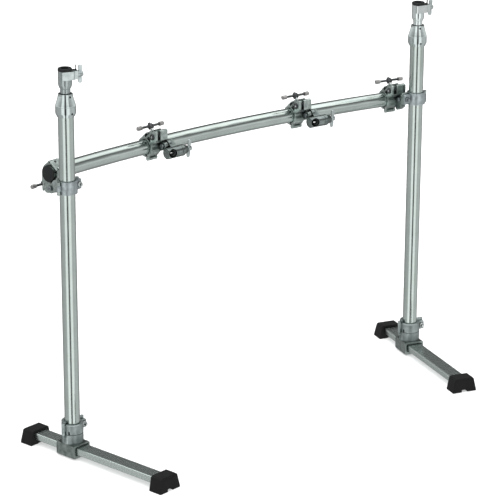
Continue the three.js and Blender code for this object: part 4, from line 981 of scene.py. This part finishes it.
tube, rim = post_tube(), rim_ring()
leg, foot_f, foot_r, cast_, door_, key_ = leg_tube(), foot(True), foot(False), base_casting(), base_door(), key_bolt(74.2, 7.4)
for i, side in enumerate(("left", "right")):
    post_body = f"{side}_post"
    at = Matrix.Translation((-HALF if i == 0 else HALF, 0, 0))
    put(f"post_{side}_skin", tube, TUBE_V, post_body, f"post_{side}", at)
    put(f"ferrule_{side}_form", ferrule(i), CHROME, post_body, f"post_ferrule_{side}", at)
    put(f"ferrule_{side}_screws", set_screws(i), PLASTIC, post_body, f"post_ferrule_{side}", at)
    put(f"ferrule_{side}_lining", rim, PLASTIC, post_body, f"post_ferrule_{side}", at)
    put(f"socket_{side}_form", socket(WING_AZ[i]), SATIN[i], f"{side}_socket", f"boom_socket_{side}", at)
    put(f"socket_{side}_bushing_form", bushing(WING_AZ[i]), PLASTIC, f"{side}_socket", f"socket_bushing_{side}", at)
    put(f"socket_{side}_wing_form", socket_wing(WING_AZ[i]), ZINC, f"{side}_socket_wing", f"socket_wing_screw_{side}", at)
    at = at @ Matrix.Rotation(rad(LEG_ANGLE[i]), 4, "Z")
    put(f"leg_{side}_form", leg, LEG, f"{side}_base", f"leg_tube_{side}", at)
    put(f"foot_front_{side}_form", foot_f, RUBBER, f"{side}_base", f"foot_front_{side}", at)
    put(f"foot_rear_{side}_form", foot_r, RUBBER, f"{side}_base", f"foot_rear_{side}", at)
    put(f"base_{side}_form", cast_, CAST_BASE, f"{side}_base", f"base_casting_{side}", at, (38.0, CAST_FOOT))
    put(f"base_{side}_door_form", door_, CAST_FOOT, f"{side}_base_door", f"base_door_{side}", at)
    put(f"base_{side}_key_form", key_, BOLT, f"{side}_base_key", f"base_key_bolt_{side}", at)

# --------------------------------------------------------------------- stage
floor = bpy.data.objects.new("floor", shape([(-40, -40, 0), (40, -40, 0), (40, 40, 0), (-40, 40, 0)], [(0, 1, 2, 3)]))
scene.collection.objects.link(floor)
fm = bpy.data.materials.new("pale_floor")
fm.use_nodes = True
fb = fm.node_tree.nodes["Principled BSDF"]
fb.inputs["Base Color"].default_value = (0.86, 0.865, 0.865, 1)
fb.inputs["Roughness"].default_value = 0.9
fb.inputs["Specular IOR Level"].default_value = 0.15
floor.data.materials.append(fm)
floor.visible_glossy = False
# the floor's far edge sweeps up into a plain wall; it neither lights nor shades the object
sweep = [(12.0, 0.004)] + [(12.0 + 6.0 * math.sin(rad(t)), 0.004 + 6.0 * (1.0 - math.cos(rad(t)))) for t in range(3, 91, 3)] + [(18.0, 10.0)]
turns = 120
wall = bpy.data.objects.new("wall", shape(
    [(r * math.cos(2 * math.pi * k / turns), r * math.sin(2 * math.pi * k / turns), z) for k in range(turns) for r, z in sweep],
    [(k * len(sweep) + j, k * len(sweep) + j + 1, (k + 1) % turns * len(sweep) + j + 1, (k + 1) % turns * len(sweep) + j) for k in range(turns) for j in range(len(sweep) - 1)]))
for p in wall.data.polygons:
    p.use_smooth = True
wall.data.materials.append(fm)
wall.visible_glossy = wall.visible_diffuse = wall.visible_transmission = wall.visible_shadow = False
scene.collection.objects.link(wall)

world = bpy.data.worlds.new("studio")
scene.world = world
world.use_nodes = True
nt = world.node_tree
bg = nt.nodes["Background"]
tc = nt.nodes.new("ShaderNodeTexCoord")
mp = nt.nodes.new("ShaderNodeMapping")
mp.vector_type = "POINT"
mp.inputs["Rotation"].default_value = (0, 0, rad(39.585))     # local -Y then points to the front left
nt.links.new(tc.outputs["Generated"], mp.inputs["Vector"])
sx = nt.nodes.new("ShaderNodeSeparateXYZ")
nt.links.new(mp.outputs["Vector"], sx.inputs["Vector"])


def op(kind, a, b=None, clamp=False):
    n = nt.nodes.new("ShaderNodeMath")
    n.operation, n.use_clamp = kind, clamp
    for k, v in enumerate((a, b)):
        if v is None:
            continue
        if isinstance(v, (int, float)):
            n.inputs[k].default_value = v
        else:
            nt.links.new(v, n.inputs[k])
    return n.outputs[0]


# signed azimuth round the vertical: 0.5 towards the front left, where the picture is taken from
azimuth = op("ADD", op("MULTIPLY", op("ARCTAN2", sx.outputs["X"], op("MULTIPLY", sx.outputs["Y"], -1.0)), 0.5 / math.pi), 0.5)


def az(deg):
    return 0.5 + deg / 360.0


low = ramp(nt, azimuth, [(0.0, 0.30), (az(-135), 0.34), (az(-105), 0.50), (az(-48), 0.58), (az(-37), 1.30), (az(-13), 1.30), (az(-5), 0.07), (az(9), 0.07),
                         (az(18), 1.26), (az(43), 1.26), (az(58), 0.60), (az(80), 0.66), (az(108), 0.66), (az(140), 0.34), (1.0, 0.30)])
level = ramp(nt, span(nt, sx.outputs["Z"], 0.0, 1.0, -1.0, 1.0), [(0.0, 0.30), (0.25, 0.42), (0.44, 0.74), (0.50, 0.88), (0.56, 0.80), (0.61, 0.56), (0.66, 0.36), (0.71, 0.20), (0.80, 0.15), (0.84, 0.75), (0.87, 1.6), (1.0, 1.5)])
# dark backdrop behind the frame, up to half the height of the sky
behind = ramp(nt, azimuth, [(0.0, 1.0), (az(-155), 1.0), (az(-128), 0.0), (az(128), 0.0), (az(152), 1.0), (1.0, 1.0)])
backdrop = op("MULTIPLY", op("MULTIPLY", behind, span(nt, sx.outputs["Z"], 1.0, 0.0, 0.54, 0.63)), span(nt, sx.outputs["Z"], 0.0, 1.0, -0.05, 0.08))
mb = nt.nodes.new("ShaderNodeMix")
mb.data_type = "RGBA"
nt.links.new(backdrop, mb.inputs["Factor"])
nt.links.new(level, mb.inputs["A"])
mb.inputs["B"].default_value = (0.10, 0.10, 0.10, 1.0)
level = mb.outputs["Result"]
# below the horizon the panels decide, above it the height does; the two bright panels in front stand higher
rise = ramp(nt, azimuth, [(0.0, 0.0), (az(-56), 0.0), (az(-42), 1.0), (az(42), 1.0), (az(56), 0.0), (1.0, 0.0)])
height = op("SUBTRACT", sx.outputs["Z"], op("MULTIPLY", rise, 0.46))
mx = nt.nodes.new("ShaderNodeMix")
mx.data_type = "RGBA"
nt.links.new(span(nt, height, 0.0, 1.0, -0.16, -0.02), mx.inputs["Factor"])
nt.links.new(low, mx.inputs["A"])
nt.links.new(level, mx.inputs["B"])
nt.links.new(mx.outputs["Result"], bg.inputs["Color"])
bg.inputs["Strength"].default_value = 1.0


# wide, even light for the floor and the dull pieces; the metal shows the panels instead
sun = bpy.data.lights.new("even", "SUN")
sun.energy, sun.angle = 2.6, rad(100)
sun.use_shadow = False
sun_ob = bpy.data.objects.new("even", sun)
sun_ob.rotation_euler = (rad(-12), rad(-8), 0)
sun_ob.visible_glossy = False
scene.collection.objects.link(sun_ob)

# -------------------------------------------------------------------- camera
yaw, pitch, roll = rad(39.585), rad(18.555), rad(0.252)
fwd = Vector((math.sin(yaw) * math.cos(pitch), math.cos(yaw) * math.cos(pitch), -math.sin(pitch)))
r0 = Vector((math.cos(yaw), -math.sin(yaw), 0))
u0 = r0.cross(fwd)
rt = math.cos(roll) * r0 + math.sin(roll) * u0
up = -math.sin(roll) * r0 + math.cos(roll) * u0
cd = bpy.data.cameras.new("camera")
cd.lens, cd.sensor_width = 169.445, 36.0
cd.clip_start, cd.clip_end = 0.05, 200.0
cam = bpy.data.objects.new("camera", cd)
pos = Vector((-3.634149, -4.294034, 2.320433))
cam.matrix_world = Matrix(((rt.x, up.x, -fwd.x, pos.x), (rt.y, up.y, -fwd.y, pos.y), (rt.z, up.z, -fwd.z, pos.z), (0, 0, 0, 1)))
scene.collection.objects.link(cam)
scene.camera = cam

scene.view_settings.view_transform = "Standard"
scene.view_settings.look = "None"
scene.view_settings.exposure = 0.0
